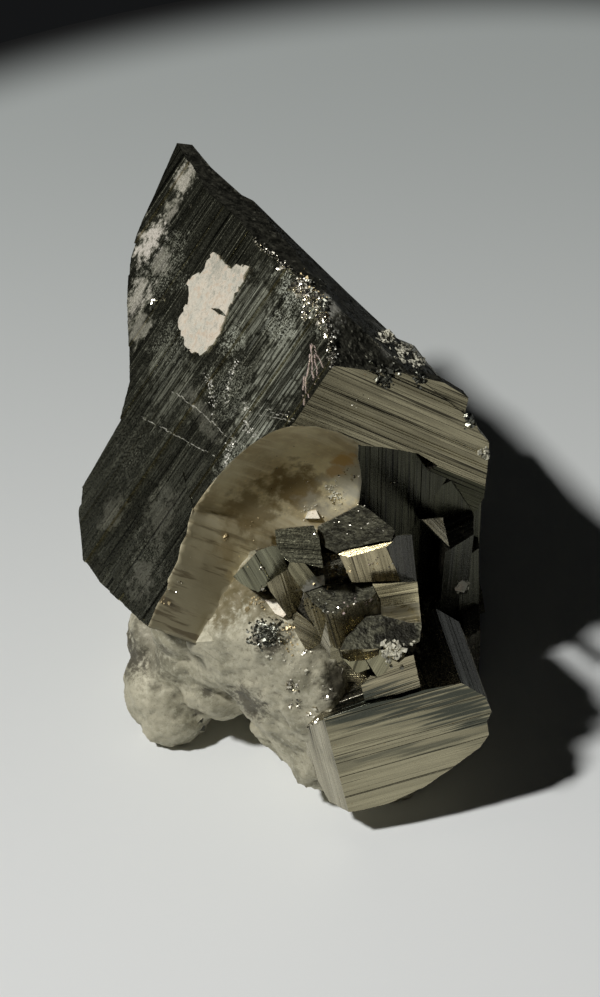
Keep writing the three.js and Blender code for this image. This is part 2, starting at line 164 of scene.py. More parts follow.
def known_faces(normals):
    """For each known direction of face: which faces have it, the way they are ruled, and their tint."""
    left = np.ones(len(normals), bool)
    for turn, rules, tint in CRYSTALS:
        axes = turned(turn).T
        for face_axis, way_axis in rules.items():
            same = left & (np.abs(normals @ axes[face_axis]) > PARALLEL)
            left &= ~same
            yield same, axes[way_axis], tint


def mass_hull():
    """The convex body inside the rough mass."""
    bm = bmesh.new()
    for p in MASS:
        bm.verts.new(Vector(p) - Vector(ORIGIN))
    bmesh.ops.convex_hull(bm, input=bm.verts)
    return bm


def in_mass(points):
    """Which points lie on or in the rough mass."""
    bm = mass_hull()
    bm.normal_update()
    far = np.max([(points - np.array(f.verts[0].co)) @ np.array(f.normal) for f in bm.faces], axis=0)
    bm.free()
    result = far < MASS_NEAR
    for at, radii in LUMPS:
        result |= np.linalg.norm((points + ORIGIN - at) / (np.array(radii) + MASS_NEAR), axis=1) < 1
    return result


def on_hollow(points):
    """Which points lie on the hollow's wall."""
    out = np.linalg.norm((to_great(points) - HOLLOW_AT) / HOLLOW_RADII, axis=1)
    return np.abs(out - WALL_AT) < WALL_NEAR


def hollow_normal(points):
    """The direction into the hollow from its wall."""
    out = (to_great(points) - HOLLOW_AT) / HOLLOW_RADII**2
    return -unit(out @ GREAT.T)


# ---- The CAD solid's faces ----------------------------------------------------------------------
FLAT = math.cos(math.radians(0.4))  # triangles that meet flatter than this are one face
SAME_WAY = math.cos(math.radians(1.5))
PARALLEL = 0.9996  # the cosine at which a face is taken for a known crystal's
FRONTAL = -0.2  # a face whose normal's y is lower than this looks to the front
SLIVER = 0.004  # mm: a triangle thinner than this has no direction of its own
SHORT = 0.02  # mm: an edge shorter than this doesn't say how a face is ruled
WALL_FACING = 0.93  # how well a triangle of the hollow's wall faces into the hollow
ROOF_FACING = 0.78  # how well the roof faces up in the large crystal's axes
ROOF_LOW = -2.2  # mm, how low it reaches in them
LONGEST = 40  # the directions of this many of the longest edges are weighed against each other
VOTE_POWER = 60  # a high power, so that only nearly parallel edges vote for a direction
# The kinds of face, in the order of their materials: ruled crystal, the hollow's wall, the grainy roof,
# the rough mass under its crust, and the small crystals' grainy tops.
RULED, WALL, GRAINY, MASSIVE, DARK_TOP = range(5)


def cad_mesh():
    """The CAD solid's corners in mm and its triangles, with each triangle's three neighbours."""
    bm = bmesh.new()
    bm.from_mesh(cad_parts[NODE].data)
    bmesh.ops.remove_doubles(bm, verts=bm.verts, dist=1e-7)
    bmesh.ops.triangulate(bm, faces=bm.faces)
    bm.verts.index_update()
    bm.faces.index_update()
    corners = np.array([v.co for v in bm.verts]) / MM
    triangles = np.array([[v.index for v in f.verts] for f in bm.faces])
    beside = [[sum(g.index for g in loop.edge.link_faces) - f.index for loop in f.loops] for f in bm.faces]
    bm.free()
    return corners, triangles, np.array(beside)


def group_faces(corners, triangles, beside):
    """The number of the flat face that each triangle belongs to, and each face's normal, area and middle."""
    a, b, c = (corners[triangles[:, k]] for k in range(3))
    cross = np.cross(b - a, c - a)
    area = np.linalg.norm(cross, axis=1) / 2
    normal = unit(cross)
    sides = np.stack([np.linalg.norm(p - q, axis=1) for p, q in ((a, b), (b, c), (c, a))], axis=1)
    thin = 2 * area / np.maximum(sides.max(axis=1), TINY) < SLIVER
    root = np.arange(len(triangles))

    def top(i):
        while root[i] != i:
            root[i] = root[root[i]]
            i = root[i]
        return i

    for i in range(len(triangles)):
        for j in beside[i]:
            if not thin[i] and not thin[j] and normal[i] @ normal[j] > FLAT:
                root[top(i)] = top(j)
    for i in np.nonzero(thin)[0]:
        root[top(i)] = top(beside[i][np.argsort(sides[i])[-1]])
    found = {}
    face_of = np.array([found.setdefault(top(i), len(found)) for i in range(len(triangles))])

    def summed(values):
        """The sum for each face of its triangles' values."""
        total = np.zeros((len(found), *values.shape[1:]))
        np.add.at(total, face_of, values)
        return total

    areas = summed(area)
    middles = summed((a + b + c) / 3 * area[:, None]) / np.maximum(areas, TINY)[:, None]
    return face_of, unit(summed(cross / 2)), areas, middles


def face_kinds(corners, triangles, face_of, normals, middles):
    """The kind of each triangle, and the way it faces."""
    a, b, c = (corners[triangles[:, k]] for k in range(3))
    facing = unit(np.cross(b - a, c - a))
    centre = (a + b + c) / 3
    wall = on_hollow(corners)[triangles].all(axis=1) & (dots(facing, hollow_normal(centre)) > WALL_FACING)
    own = normals @ GREAT
    place = to_great(middles)
    lip = (np.abs(own[:, 0]) < LIP_UPRIGHT) & (own[:, 1] < FRONTAL)
    lip &= ((place > LIP_LOW) & (place < LIP_HIGH)).all(axis=1)
    roof = (own[:, 2] > ROOF_FACING) & (place[:, 2] > ROOF_LOW)
    known = np.any([same for same, _, _ in known_faces(normals)], axis=0)
    tops = [normals @ turned(turn)[:, 2] > PARALLEL for turn in GRAINY_TOPS]
    top = np.any(tops, axis=0) & (place[:, 1] < 0)
    kinds = np.full(len(triangles), RULED)
    kinds[in_mass(centre) & ~known[face_of]] = MASSIVE
    kinds[roof[face_of]] = GRAINY
    kinds[top[face_of]] = DARK_TOP
    kinds[wall | lip[face_of]] = WALL
    return kinds, facing


def face_tints(normals, middles):
    """Each face's tint: tarnish, with painted light and painted shade on some faces."""
    tints = np.ones_like(normals)
    for same, _, tint in known_faces(normals):
        tints[same] = tint
    out = (middles - BAY_AT) @ BAY_OUT
    in_bay = (out > BAY_REACH[0]) & (out < BAY_REACH[1]) & (middles[:, 2] < BAY_TOP)
    in_bay &= (middles[:, 0] > BAY_AT[0]) & (normals[:, 1] < FRONTAL)
    # Painted shade: the bay and the foot's shoulder are painted nearly black.
    tints[in_bay] = BAY_PAINTED_SHADE
    tints[normals @ FOOT_SHOULDER > SHOULDER_NEAR] = SHOULDER_PAINTED_SHADE
    return tints


def grain_directions(corners, triangles, beside, face_of, normals, areas):
    """The way each face is ruled: as its crystal is, or the way of the longest edges of all the faces
    parallel to it."""
    edges = [[] for _ in normals]
    for i, row in enumerate(triangles):
        for k in range(3):
            if face_of[beside[i][k]] != face_of[i]:
                edges[face_of[i]].append(corners[row[(k + 1) % 3]] - corners[row[k]])
    way = np.zeros_like(normals)
    left = np.ones(len(normals), bool)
    for same, direction, _ in known_faces(normals):
        way[same] = direction
        left &= ~same
    for f in np.argsort(-areas):
        if not left[f]:
            continue
        same = left & (np.abs(normals @ normals[f]) > SAME_WAY)
        left &= ~same
        lines = np.array([e for g in np.nonzero(same)[0] for e in edges[g]])
        length = np.linalg.norm(lines, axis=1)
        lines, length = lines[length > SHORT], length[length > SHORT]
        if not len(lines):
            lines, length = np.array([[1.0, 0, 0]]), np.array([1.0])
        direction = lines / length[:, None]
        best = direction[np.argsort(-length)[:LONGEST]]
        votes = (np.abs(best @ direction.T) ** VOTE_POWER) @ length**2
        way[same] = best[np.argmax(votes)]
    way -= normals * dots(way, normals)[:, None]
    return unit(way)


# ---- Cutting the faces into ledges --------------------------------------------------------------
RISER = 0.05  # mm, the width of the slope between two ledges
CLEAR = 0.002  # mm, how near a cut may come to a corner
BEYOND = 2.0  # mm, how far the ruling goes on past the face
LEDGE_DEPTH = 0.035  # mm, the range of the ledges' heights
LEDGE_TILT = 0.03  # how much a ledge leans
UNEVEN = 0.55  # how much the ledges' widths differ
NARROWEST, WIDEST = 0.3, 3.0  # a ledge's least and greatest width, as shares of the mean
LEAST_STEP = 1.6  # a ledge takes at least as many slopes' widths as this
LEAST_RULED = 0.3  # a face with less area in mm2 or less width in mm than this stays smooth
LEDGES = 16  # about this many across a face
FINEST, COARSEST = 0.16, 0.34  # mm, the limits of their mean width
GROOVE_WIDTH = 0.16
GROOVE_EDGES = np.array([-0.5, -0.15, 0.15, 0.5])  # in widths, from the groove's middle
FRONTWARD = (0.0, -0.7071, 0.7071)  # the way to the viewer
TURNED_AWAY = -0.1
COARSER = 1.3  # how much coarser the ruling is on the faces turned away from the front
SPACING = {WALL: 0.7, GRAINY: 0.26, DARK_TOP: 0.26}  # mm between the points that fill faces of a kind
ROW_STEP = 0.87  # of the spacing, from one row of points to the next
JITTER = 0.35  # of the spacing, how far the points are pushed about
MARGIN = 0.35  # of the spacing, how far they keep from the edges
# Deep grooves on the large crystal's front, as heights in its own axes, with their depths.
FRONT_GROOVES = [
    (-1.15, 0.12), (-1.5, 0.14), (-2.3, 0.06), (-3.35, 0.08), (-3.6, 0.08), (-4.6, 0.05), (1, 0.07),
]


def ruling(corner_places, pitch, grooves, random):
    """Where the cuts across a face lie, and how high the surface is at each."""
    low, high = corner_places.min(), corner_places.max()
    places, heights = [low - BEYOND], [0.0]
    s = low - pitch * random.random()
    while s < high + pitch:
        width = pitch * float(np.clip(np.exp(UNEVEN * random.normal()), NARROWEST, WIDEST))
        start = LEDGE_DEPTH * (random.random() - 0.5)
        end = start + LEDGE_TILT * width * random.normal()
        riser = RISER * (0.6 + random.random())
        places += [s + riser / 2, s + width - riser / 2]
        heights += [start, end]
        s += max(width, LEAST_STEP * riser)
    places = np.array([*places, places[-1] + BEYOND])
    heights = np.array([*heights, 0.0])
    for at, depth in grooves:
        sides = at + GROOVE_WIDTH * GROOVE_EDGES
        level = np.interp(sides, places, heights) - np.array([0, depth, depth, 0])
        keep = np.abs(places - at) > GROOVE_WIDTH / 2
        places = np.append(places[keep], sides)
        heights = np.append(heights[keep], level)
        order = np.argsort(places)
        places, heights = places[order], heights[order]
    for _ in range(4):
        gap = np.abs(places[:, None] - corner_places[None, :]).min(axis=1)
        places = np.where(gap < CLEAR, places + 2.5 * CLEAR, places)
    order = np.argsort(places)
    return places[order], heights[order]


class Surface:
    """A mesh being made: its corners, and its faces with the group and kind of each."""

    def __init__(self, corners):
        self.corners = [np.array(c) for c in corners]
        self.faces, self.groups, self.kinds = [], [], []

    def add_corner(self, corner):
        self.corners.append(np.array(corner))
        return len(self.corners) - 1

    def add_face(self, face, group, kind):
        self.faces.append(face)
        self.groups.append(group)
        self.kinds.append(kind)

    def fill(self, loop, normal, group, kind, random):
        """Fills a flat loop of corners with triangles, with jittered points inside it."""
        spacing = SPACING[kind]
        points = np.array([self.corners[v] for v in loop])
        across = unit(np.cross(normal, points[1] - points[0]))
        along = np.cross(across, normal)
        flat = np.stack([points @ along, points @ across], axis=1)
        low, high = flat.min(axis=0), flat.max(axis=0)
        after = np.roll(flat, -1, axis=0)
        edge = after - flat
        length = np.maximum(np.linalg.norm(edge, axis=1), TINY)
        turning = np.sign((flat[:, 0] * after[:, 1] - flat[:, 1] * after[:, 0]).sum())
        rows = np.arange(low[1] + spacing * 0.4, high[1], spacing * ROW_STEP)
        columns = np.arange(low[0] + spacing * 0.25, high[0], spacing)
        x, y = np.meshgrid(columns, rows)
        x = x + 0.5 * spacing * (np.arange(len(rows)) % 2)[:, None]
        grid = np.stack([x.ravel(), y.ravel()], axis=1)
        grid += (random.random(grid.shape) - 0.5) * spacing * JITTER
        away = grid[:, None, :] - flat[None, :, :]
        side = turning * (edge[:, 0] * away[..., 1] - edge[:, 1] * away[..., 0]) / length
        grid = grid[side.min(axis=1) > spacing * MARGIN]
        every = [Vector(p) for p in (*flat, *grid)]
        made = geometry.delaunay_2d_cdt(every, [], [list(range(len(loop)))], 1, 1e-6)
        base = normal * (points[0] @ normal)
        ids = []
        for p, source in zip(made[0], made[3]):
            if source and source[0] < len(loop):
                ids.append(loop[source[0]])
            else:
                ids.append(self.add_corner(along * p[0] + across * p[1] + base))
        for face in made[2]:
            face = [ids[n] for n in face]
            a, b, c = (self.corners[v] for v in face[:3])
            outward = np.cross(b - a, c - a) @ normal > 0
            self.add_face(face if outward else face[::-1], group, kind)

    def inner(self, kind):
        """The corners that lie on faces of a kind alone, and the neighbours of each."""
        inside, outside, beside = set(), set(), {}
        for face, own in zip(self.faces, self.kinds):
            (inside if own == kind else outside).update(face)
            if own == kind:
                for n, v in enumerate(face):
                    beside.setdefault(v, set()).update((face[n - 1], face[(n + 1) % len(face)]))
        return np.array(sorted(inside - outside)), beside


def rulings(corners, triangles, face_of, kinds, normals, areas, middles, across, random):
    """The cuts across each ruled face that is large enough for them."""
    rules = {}
    for f, normal in enumerate(normals):
        own = triangles[(face_of == f) & (kinds == RULED)]
        if not len(own) or areas[f] < LEAST_RULED:
            continue
        s = corners[np.unique(own)] @ across[f]
        span = s.max() - s.min()
        if span < LEAST_RULED:
            continue
        grooves = []
        if normal @ -GREAT[:, 1] > PARALLEL and abs(to_great(middles[f])[1]) < 0.1:
            sign = np.sign(across[f] @ GREAT[:, 2])
            grooves = [(sign * (at + GREAT_AT @ GREAT[:, 2]), depth) for at, depth in FRONT_GROOVES]
        pitch = float(np.clip(span / LEDGES, FINEST, COARSEST))
        if normal @ FRONTWARD < TURNED_AWAY:
            pitch *= COARSER
        rules[f] = ruling(s, pitch, grooves, random)
    return rules


def cut_edges(surface, triangles, face_of, kinds, rules, across):
    """Cuts every edge where the ledges or the filling of a face beside it need it.

    Gives the cuts of each edge in order, and the place of each cut across the ruled face that needs it."""
    on_edge, place_of = {}, {}
    for row, f, kind in zip(triangles, face_of, kinds):
        for k in range(3):
            key = tuple(sorted((int(row[k]), int(row[(k + 1) % 3]))))
            cuts = on_edge.setdefault(key, [])
            start, end = (surface.corners[v] for v in key)
            tag = -int(kind) if kind in SPACING else f
            if any(known == tag for _, _, known in cuts):
                continue
            if kind in SPACING:
                count = int(np.linalg.norm(end - start) / SPACING[kind])
                for n in range(count):
                    t = (n + 1) / (count + 1)
                    cuts.append((t, surface.add_corner(start + (end - start) * t), tag))
            elif kind == RULED and f in rules:
                places = rules[f][0]
                s0, s1 = start @ across[f], end @ across[f]
                for place in places[(places > min(s0, s1)) & (places < max(s0, s1))]:
                    t = (place - s0) / (s1 - s0)
                    v = surface.add_corner(start + (end - start) * t)
                    cuts.append((t, v, tag))
                    place_of[(v, f)] = place
    for cuts in on_edge.values():
        cuts.sort(key=lambda cut: cut[0])
    return on_edge, place_of


def crystal_surface(random):
    """The CAD solid's surface, with its faces cut into ledges or filled with fine triangles."""
    corners, triangles, beside = cad_mesh()
    face_of, normals, areas, middles = group_faces(corners, triangles, beside)
    kinds, facing = face_kinds(corners, triangles, face_of, normals, middles)
    way = grain_directions(corners, triangles, beside, face_of, normals, areas)
    across = np.cross(normals, way)
    rules = rulings(corners, triangles, face_of, kinds, normals, areas, middles, across, random)
    surface = Surface(corners)
    on_edge, place_of = cut_edges(surface, triangles, face_of, kinds, rules, across)
    raised = {}
    for row, f, kind, outward in zip(triangles, face_of, kinds, facing):
        loop = []
        for k in range(3):
            p, q = int(row[k]), int(row[(k + 1) % 3])
            cuts = [v for _, v, _ in on_edge[(min(p, q), max(p, q))]]
            loop += [p] + (cuts if p < q else cuts[::-1])
        if kind in SPACING:
            surface.fill(loop, outward, f, kind, random)
            continue
        if kind == MASSIVE or f not in rules:
            surface.add_face(loop, f, kind)
            continue
        places = rules[f][0]
        s = np.array([place_of.get((v, f), surface.corners[v] @ across[f]) for v in loop])
        raised.update({(v, f): at for v, at in zip(loop, s)})
        first = max(np.searchsorted(places, s.min()) - 1, 0)
        last = min(np.searchsorted(places, s.max()), len(places) - 1)
        for m in range(first, last):
            strip = [v for v, at in zip(loop, s) if places[m] <= at <= places[m + 1]]
            if len(strip) > 2:
                surface.add_face(strip, f, RULED)
    surface.corners = np.array(surface.corners)
    for (v, f), at in raised.items():
        surface.corners[v] += normals[f] * np.interp(at, *rules[f])
    surface.kinds = np.array(surface.kinds)
    surface.groups = np.array(surface.groups)
    surface.way, surface.across, surface.normals = way, across, normals
    surface.tints = face_tints(normals, middles)
    return surface


SOFTEN = 0.6  # how far a corner goes towards the mean of its neighbours, each time it is softened
WALL_SOFTENING = 14
WALL_WAVES = ((0.2, 0.23), (0.07, 0.8))  # each one's height in mm and its fineness
# Grains: the sizes that lie over each other, with their shares, and the turn from one to the next.
GRAIN_SIZES = ((1.0, 0.55), (0.47, 0.3), (2.3, 0.4))
GRAIN_TURN = (35, 12, 27)
TOP_GRAIN, TOP_WAVE = 0.42, 0.55  # the size of the tops' grains in mm, and their waves' fineness


def smooth_wall(surface):
    """Makes the hollow's wall and its lip one soft surface, with slow undulations."""
    inner, beside = surface.inner(WALL)
    points = surface.corners[inner]
    curved = on_hollow(points)
    local = to_great(points[curved]) - HOLLOW_AT
    local /= np.linalg.norm(local / HOLLOW_RADII, axis=1)[:, None]
    points[curved] = from_great(local + HOLLOW_AT)
    surface.corners[inner] = points
    rows = [np.array(sorted(beside[v])) for v in inner]
    for _ in range(WALL_SOFTENING):
        mean = np.array([surface.corners[row].mean(axis=0) for row in rows])
        surface.corners[inner] += (mean - surface.corners[inner]) * SOFTEN
    points = surface.corners[inner]
    lift = sum(height * noise_at(points, fineness) for height, fineness in WALL_WAVES)
    surface.corners[inner] = points + hollow_normal(points) * lift[:, None]


def grains(points, size, turn=(21, 34, 48)):
    """A height for each point that makes the surface a mass of tiny cubes, about -0.5 to 0.5."""
    axes = turned(turn)
    heights = np.zeros(len(points))
    for scale, weight in GRAIN_SIZES:
        cells = points @ axes / (size * scale)
        heights += weight * np.array([noise.cell(Vector(p)) for p in cells])
        axes = axes @ turned(GRAIN_TURN)
    return heights - 0.6


def roughen_tops(surface, kind, rise):
    """Breaks the grainy faces of a kind up into fine grains."""
    inner, _ = surface.inner(kind)
    up = np.zeros_like(surface.corners)
    for face, group, own in zip(surface.faces, surface.groups, surface.kinds):
        if own == kind:
            up[face] = surface.normals[group]
    points = surface.corners[inner]
    lift = rise * (grains(points, TOP_GRAIN) + noise_at(points, TOP_WAVE))
    surface.corners[inner] = points + up[inner] * lift[:, None]


def sink_mass(surface):
    """Lowers the faces of the rough mass out of the way of its crust."""
    inner, _ = surface.inner(MASSIVE)
    down = np.zeros_like(surface.corners)
    for face, group, own in zip(surface.faces, surface.groups, surface.kinds):
        if own == MASSIVE:
            down[face] -= surface.normals[group]
    surface.corners[inner] += unit(down[inner]) * MASS_SINK
    surface.corners[:, 2] = np.maximum(surface.corners[:, 2], 0.0)


# ---- Materials ----------------------------------------------------------------------------------
class Value:
    """What a shader node gives, for other nodes to work on."""

    def __init__(self, finish, socket):
        self.finish, self.socket = finish, socket

    def math(self, operation, other=0.0):
        return self.finish.node("ShaderNodeMath", {0: self, 1: other}, operation=operation)

    def __add__(self, other):
        return self.math("ADD", other)

    def __mul__(self, other):
        return self.math("MULTIPLY", other)

    def most(self, other):
        return self.math("MAXIMUM", other)

    def rest(self):
        """What is left of 1."""
        return self.finish.node("ShaderNodeMath", {0: 1.0, 1: self}, operation="SUBTRACT")

    def ranged(self, low, high, to_low=0.0, to_high=1.0):
        values = {"Value": self, "From Min": low, "From Max": high, "To Min": to_low, "To Max": to_high}
        return self.finish.node("ShaderNodeMapRange", values, "Result", interpolation_type="SMOOTHSTEP")


class Finish:
    """A material whose nodes are made one call at a time, with one colour laid over another."""

    def __init__(self, name, colour):
        self.material = bpy.data.materials.new(name)
        self.material.use_nodes = True
        self.tree = self.material.node_tree
        self.shader = self.tree.nodes["Principled BSDF"]
        self.colour = colour

    def put(self, socket, value):
        if isinstance(value, Value):
            self.tree.links.new(value.socket, socket)
        else:
            socket.default_value = (*value, 1.0) if socket.type == "RGBA" else value

    def node(self, kind, values, output=0, **settings):
        made = self.tree.nodes.new(kind)
        for name, value in settings.items():
            setattr(made, name, value)
        for name, value in values.items():
            self.put(made.inputs[name], value)
        return Value(self, made.outputs[output])

    def attribute(self, name, output="Vector"):
        return self.node("ShaderNodeAttribute", {}, output, attribute_name=name)

    def vector(self, operation, values, output=0):
        return self.node("ShaderNodeVectorMath", values, output, operation=operation)

    def where(self):
        """The point's place in metres."""
        return self.node("ShaderNodeTexCoord", {}, "Object")

    def place(self):
        """The point's place in mm."""
        return self.vector("SCALE", {0: self.where(), "Scale": 1 / MM})

    def part(self, vector, axis):
        return self.node("ShaderNodeSeparateXYZ", {0: vector}, axis)

    def noise(self, vector, scale, detail=3.0, roughness=0.55):
        """Noise from 0 to 1. A scale of three numbers stretches it."""
        if isinstance(scale, tuple):
            vector, scale = self.vector("MULTIPLY", {0: vector, 1: scale}), 1.0
        values = {"Vector": vector, "Scale": scale, "Detail": detail, "Roughness": roughness}
        return self.node("ShaderNodeTexNoise", values, "Fac")

    def mix(self, factor, a, b):
        self.colour = self.node("ShaderNodeMix", {0: factor, 6: a, 7: b}, 2, data_type="RGBA")

    def lay(self, amount, colour):
        """Lays a colour over what is there, by an amount."""
        self.mix(amount, self.colour, colour)

    def keep(self, amount, colour):
        """Keeps what is there by an amount, and shows another colour for the rest."""
        self.mix(amount, colour, self.colour)

    def spots(self, vector, spots, ragged):
        """The strongest of several spots, each an ellipsoid's middle and radii and an amount."""
        found = 0.0
        for centre, radii, amount in spots:
            away = self.vector("SUBTRACT", {0: vector, 1: centre})
            scaled = self.vector("MULTIPLY", {0: away, 1: [1 / r for r in radii]})
            inside = (self.vector("LENGTH", {0: scaled}, "Value") + ragged).ranged(1.1, 0.35)
            found = (inside * amount).most(found)
        return found

    def bump(self, height, distance, strength, normal=None):
        values = {"Height": height, "Distance": distance * MM, "Strength": strength}
        if normal is not None:
            values["Normal"] = normal
        return self.node("ShaderNodeBump", values)

    def done(self, metallic, roughness, normal=None):
        """The material, once the shader has its colour and the rest."""
        wanted = {"Base Color": self.colour, "Metallic": metallic, "Roughness": roughness, "Normal": normal}
        for name, value in wanted.items():
            if value is not None:
                self.put(self.shader.inputs[name], value)
        return self.material


PYRITE = (0.50, 0.465, 0.36)
PYRITE_DARK = (0.27, 0.25, 0.19)
LINE_DARK = (0.07, 0.065, 0.05)
# Painted shade for the dark bands on the foot's front.
BAND_PAINTED_SHADE = (0.08, 0.085, 0.066)
EVEN = (0.43, 0.40, 0.31)
TARNISH = (0.30, 0.20, 0.10)
CHALK = (0.62, 0.57, 0.49)
DUST = (0.50, 0.49, 0.42)
FACE_DUST = (0.50, 0.52, 0.43)
# Painted shade, laid on upward faces that mirror the dark.
TOP_PAINTED_SHADE = (0.022, 0.021, 0.016)


def left_spots(rows):
    """Spots on the large crystal's left face, from the middle and radii along y and z, and an amount."""
    return [((0.0, y, z), (2.0, along_y, along_z), amount) for y, z, along_y, along_z, amount in rows]


# Chalky smears on the large crystal's left face, and how thick they are.
SMEARS = left_spots([
    (38.6, -1, 2, 2.2, 0.68), (37.4, -4.6, 1.6, 1.8, 0.5), (37.6, -8.4, 2.4, 3, 1),
    (33.8, -13.2, 2.4, 2.8, 0.62), (33.6, -8.8, 2, 2, 0.4), (30.6, -15.2, 2.4, 2.2, 0.4),
    (12.4, -14.6, 6, 1.4, 0.16), (9, -24.6, 3.4, 3, 0.14), (5.4, -30.4, 3, 2.2, 0.16),
    (15.8, -29.6, 2.2, 2.4, 0.14),
])
# Where the same face is covered with ruled grey dust, where with grainy dust, and where with none.
RULED_DUST = left_spots([
    (6.6, -4.2, 6.6, 5.6, 0.5), (16, -3.6, 5.6, 4.4, 0.42), (4.6, -10.6, 4, 4, 0.6),
    (20.4, -15.8, 6, 4.4, 0.26), (10, -21, 6, 5, 0.08),
])
GRAINY_DUST = left_spots([
    (4.6, -14.2, 2.8, 3.2, 0.6), (15.4, -7.2, 2.2, 2, 0.8), (10.4, -1.8, 3.6, 2.6, 0.85),
    (12.6, 1, 3.4, 1.8, 1), (9.2, 2, 3.8, 2.2, 0.9), (5.2, 1.6, 2.2, 1.6, 0.6), (33, -9, 5, 5, 0.4),
    (11.4, -10.6, 5.4, 4, 0.42), (24, -13.6, 4.6, 3.4, 0.36), (6.6, -29, 5, 3.2, 0.2),
    (19, -24, 5, 4, 0.14),
])
BARE = left_spots([
    (0.1, -7.6, 2.2, 1.8, 1), (4, -0.8, 1.8, 2, 0.8), (0.5, -3.4, 2, 2.8, 0.9),
    (11.2, -6.8, 1.2, 2.6, 0.8), (22.6, -0.9, 2.6, 1.8, 0.9),
])
# Painted shade in bands on the foot's front, for the dark that its tilted ledges mirror, and where
# the front is more even: middle and radii in mm, and how much.
FOOT_SHADE_BANDS = [
    ((9.4, -26.5, 17.8), (7, 3, 2.6), 1), ((17, -25.6, 15.8), (4.6, 3, 2.8), 1),
    ((12, -27, 11.4), (7.4, 3, 0.9), 0.6), ((6, -28, 11), (2.4, 3, 1.2), 0.3),
]
FOOT_EVEN = [((12, -27, 8.6), (9.5, 4, 8), 0.55), ((6, -27, 6), (5, 4, 6), 0.5)]
# Dusty places among the small crystals.
NEST_DUST = [((11.2, -23.9, 27.6), (3.6, 2, 2.4), 0.35), ((3, -22.6, 30.4), (1.8, 1.6, 1.4), 0.8)]


def crystal_finish():
    """Striated pyrite. The grain attribute runs along the ruling, across it, and differs by face."""
    finish = Finish("pyrite_crystal", PYRITE_DARK)
    grain, own, place = finish.attribute("grain"), finish.attribute("own"), finish.place()
    lines = finish.noise(grain, (0.09, 6.0, 1.0), 4.0, 0.7)
    bands = finish.noise(grain, (0.05, 1.1, 1.0), 3.0, 0.6)
    gaps = finish.noise(grain, (0.04, 3.2, 1.0), 2.0, 0.5)
    streaks = finish.noise(grain, (0.06, 3.0, 1.0), 7.0, 0.82)
    steps = finish.noise(grain, (0.1, 2.2, 1.0), 4.0)
    cloud = finish.noise(place, 1.9, 5.0, 0.7)
    fine = finish.noise(place, 5.0, 4.0, 0.75)
    ragged = finish.noise(place, 0.9, 6.0, 0.7).ranged(0.2, 0.8, -0.8, 0.8)
    finish.lay(bands.ranged(0.35, 0.65), PYRITE)
    finish.keep(lines.ranged(0.36, 0.52), PYRITE_DARK)
    finish.keep(gaps.ranged(0.32, 0.39), LINE_DARK)
    finish.lay(finish.spots(place, FOOT_EVEN, bands.ranged(0.3, 0.7, -0.3, 0.3)), EVEN)
    finish.lay(cloud.ranged(0.6, 0.75) * 0.5, TARNISH)
    # The tint carries tarnish together with painted light and painted shade.
    finish.colour = finish.vector("MULTIPLY", {0: finish.colour, 1: finish.attribute("tint")})
    on_left = finish.part(own, "X").math("ABSOLUTE").ranged(0.9, 0.5)
    ruled = streaks.ranged(0.47, 0.58, 0.08) * (finish.spots(own, RULED_DUST, ragged) + 0.03)
    grainy = fine.ranged(0.46, 0.64) * finish.spots(own, GRAINY_DUST, ragged)
    dust = (ruled * finish.spots(own, BARE, ragged).rest()).most(grainy) * on_left
    finish.lay(dust, FACE_DUST)
    # Painted shade: dark bands across the foot's front.
    finish.lay(finish.spots(place, FOOT_SHADE_BANDS, steps.ranged(0.36, 0.64, -0.55, 0.55)), BAND_PAINTED_SHADE)
    chalk = finish.spots(own, SMEARS, ragged) * fine.ranged(0.35, 0.6, 0.6) * on_left
    chalk = chalk.most(fine.ranged(0.52, 0.7) * cloud.ranged(0.4, 0.62) * 0.1)
    dusty = finish.spots(place, NEST_DUST, ragged)
    finish.lay(dusty, DUST)
    finish.lay(chalk, CHALK)
    dull = chalk.most(dust).most(dusty)
    roughness = fine.ranged(0.3, 0.7, 0.2, 0.34) + dull * 0.5
    return finish.done(dull.rest(), roughness, finish.bump(lines, 0.03, 0.8, finish.bump(fine, 0.015, 0.6)))


# Places on the hollow's wall in the large crystal's axes, and their colours.
PALE_PLACES = [((8.6, 4.6, -26), (3.4, 4, 1.6), 0.8), ((9.6, 4.4, -28.4), (2, 3, 1.2), 0.6)]
# Deep brown tarnish, darkened further by painted shade where the large crystal's shadow falls.
DEEP_BROWN_AND_SHADE = [
    ((9.2, 5, -15), (5, 4, 3.8), 0.95), ((6.4, 5.8, -19.6), (3.4, 4, 3), 0.75),
    ((5.6, 4, -23.4), (2, 3, 1.6), 0.5),
]
GREY_END = [((12, 2.7, -10.6), (3.2, 4, 4.6), 0.8), ((12, 4, -16), (2.4, 3, 2), 0.5)]
OCHRE_STREAK = [((9.8, 2.3, -9.4), (1.3, 2, 1.6), 0.8), ((10.4, 3.3, -11.1), (1, 2, 1.4), 0.6)]
WALL_PLACES = [
    (PALE_PLACES, (0.46, 0.38, 0.20)),
    (DEEP_BROWN_AND_SHADE, (0.23, 0.17, 0.07)),
    (GREY_END, (0.60, 0.59, 0.50)),
    (OCHRE_STREAK, (0.60, 0.36, 0.09)),
]


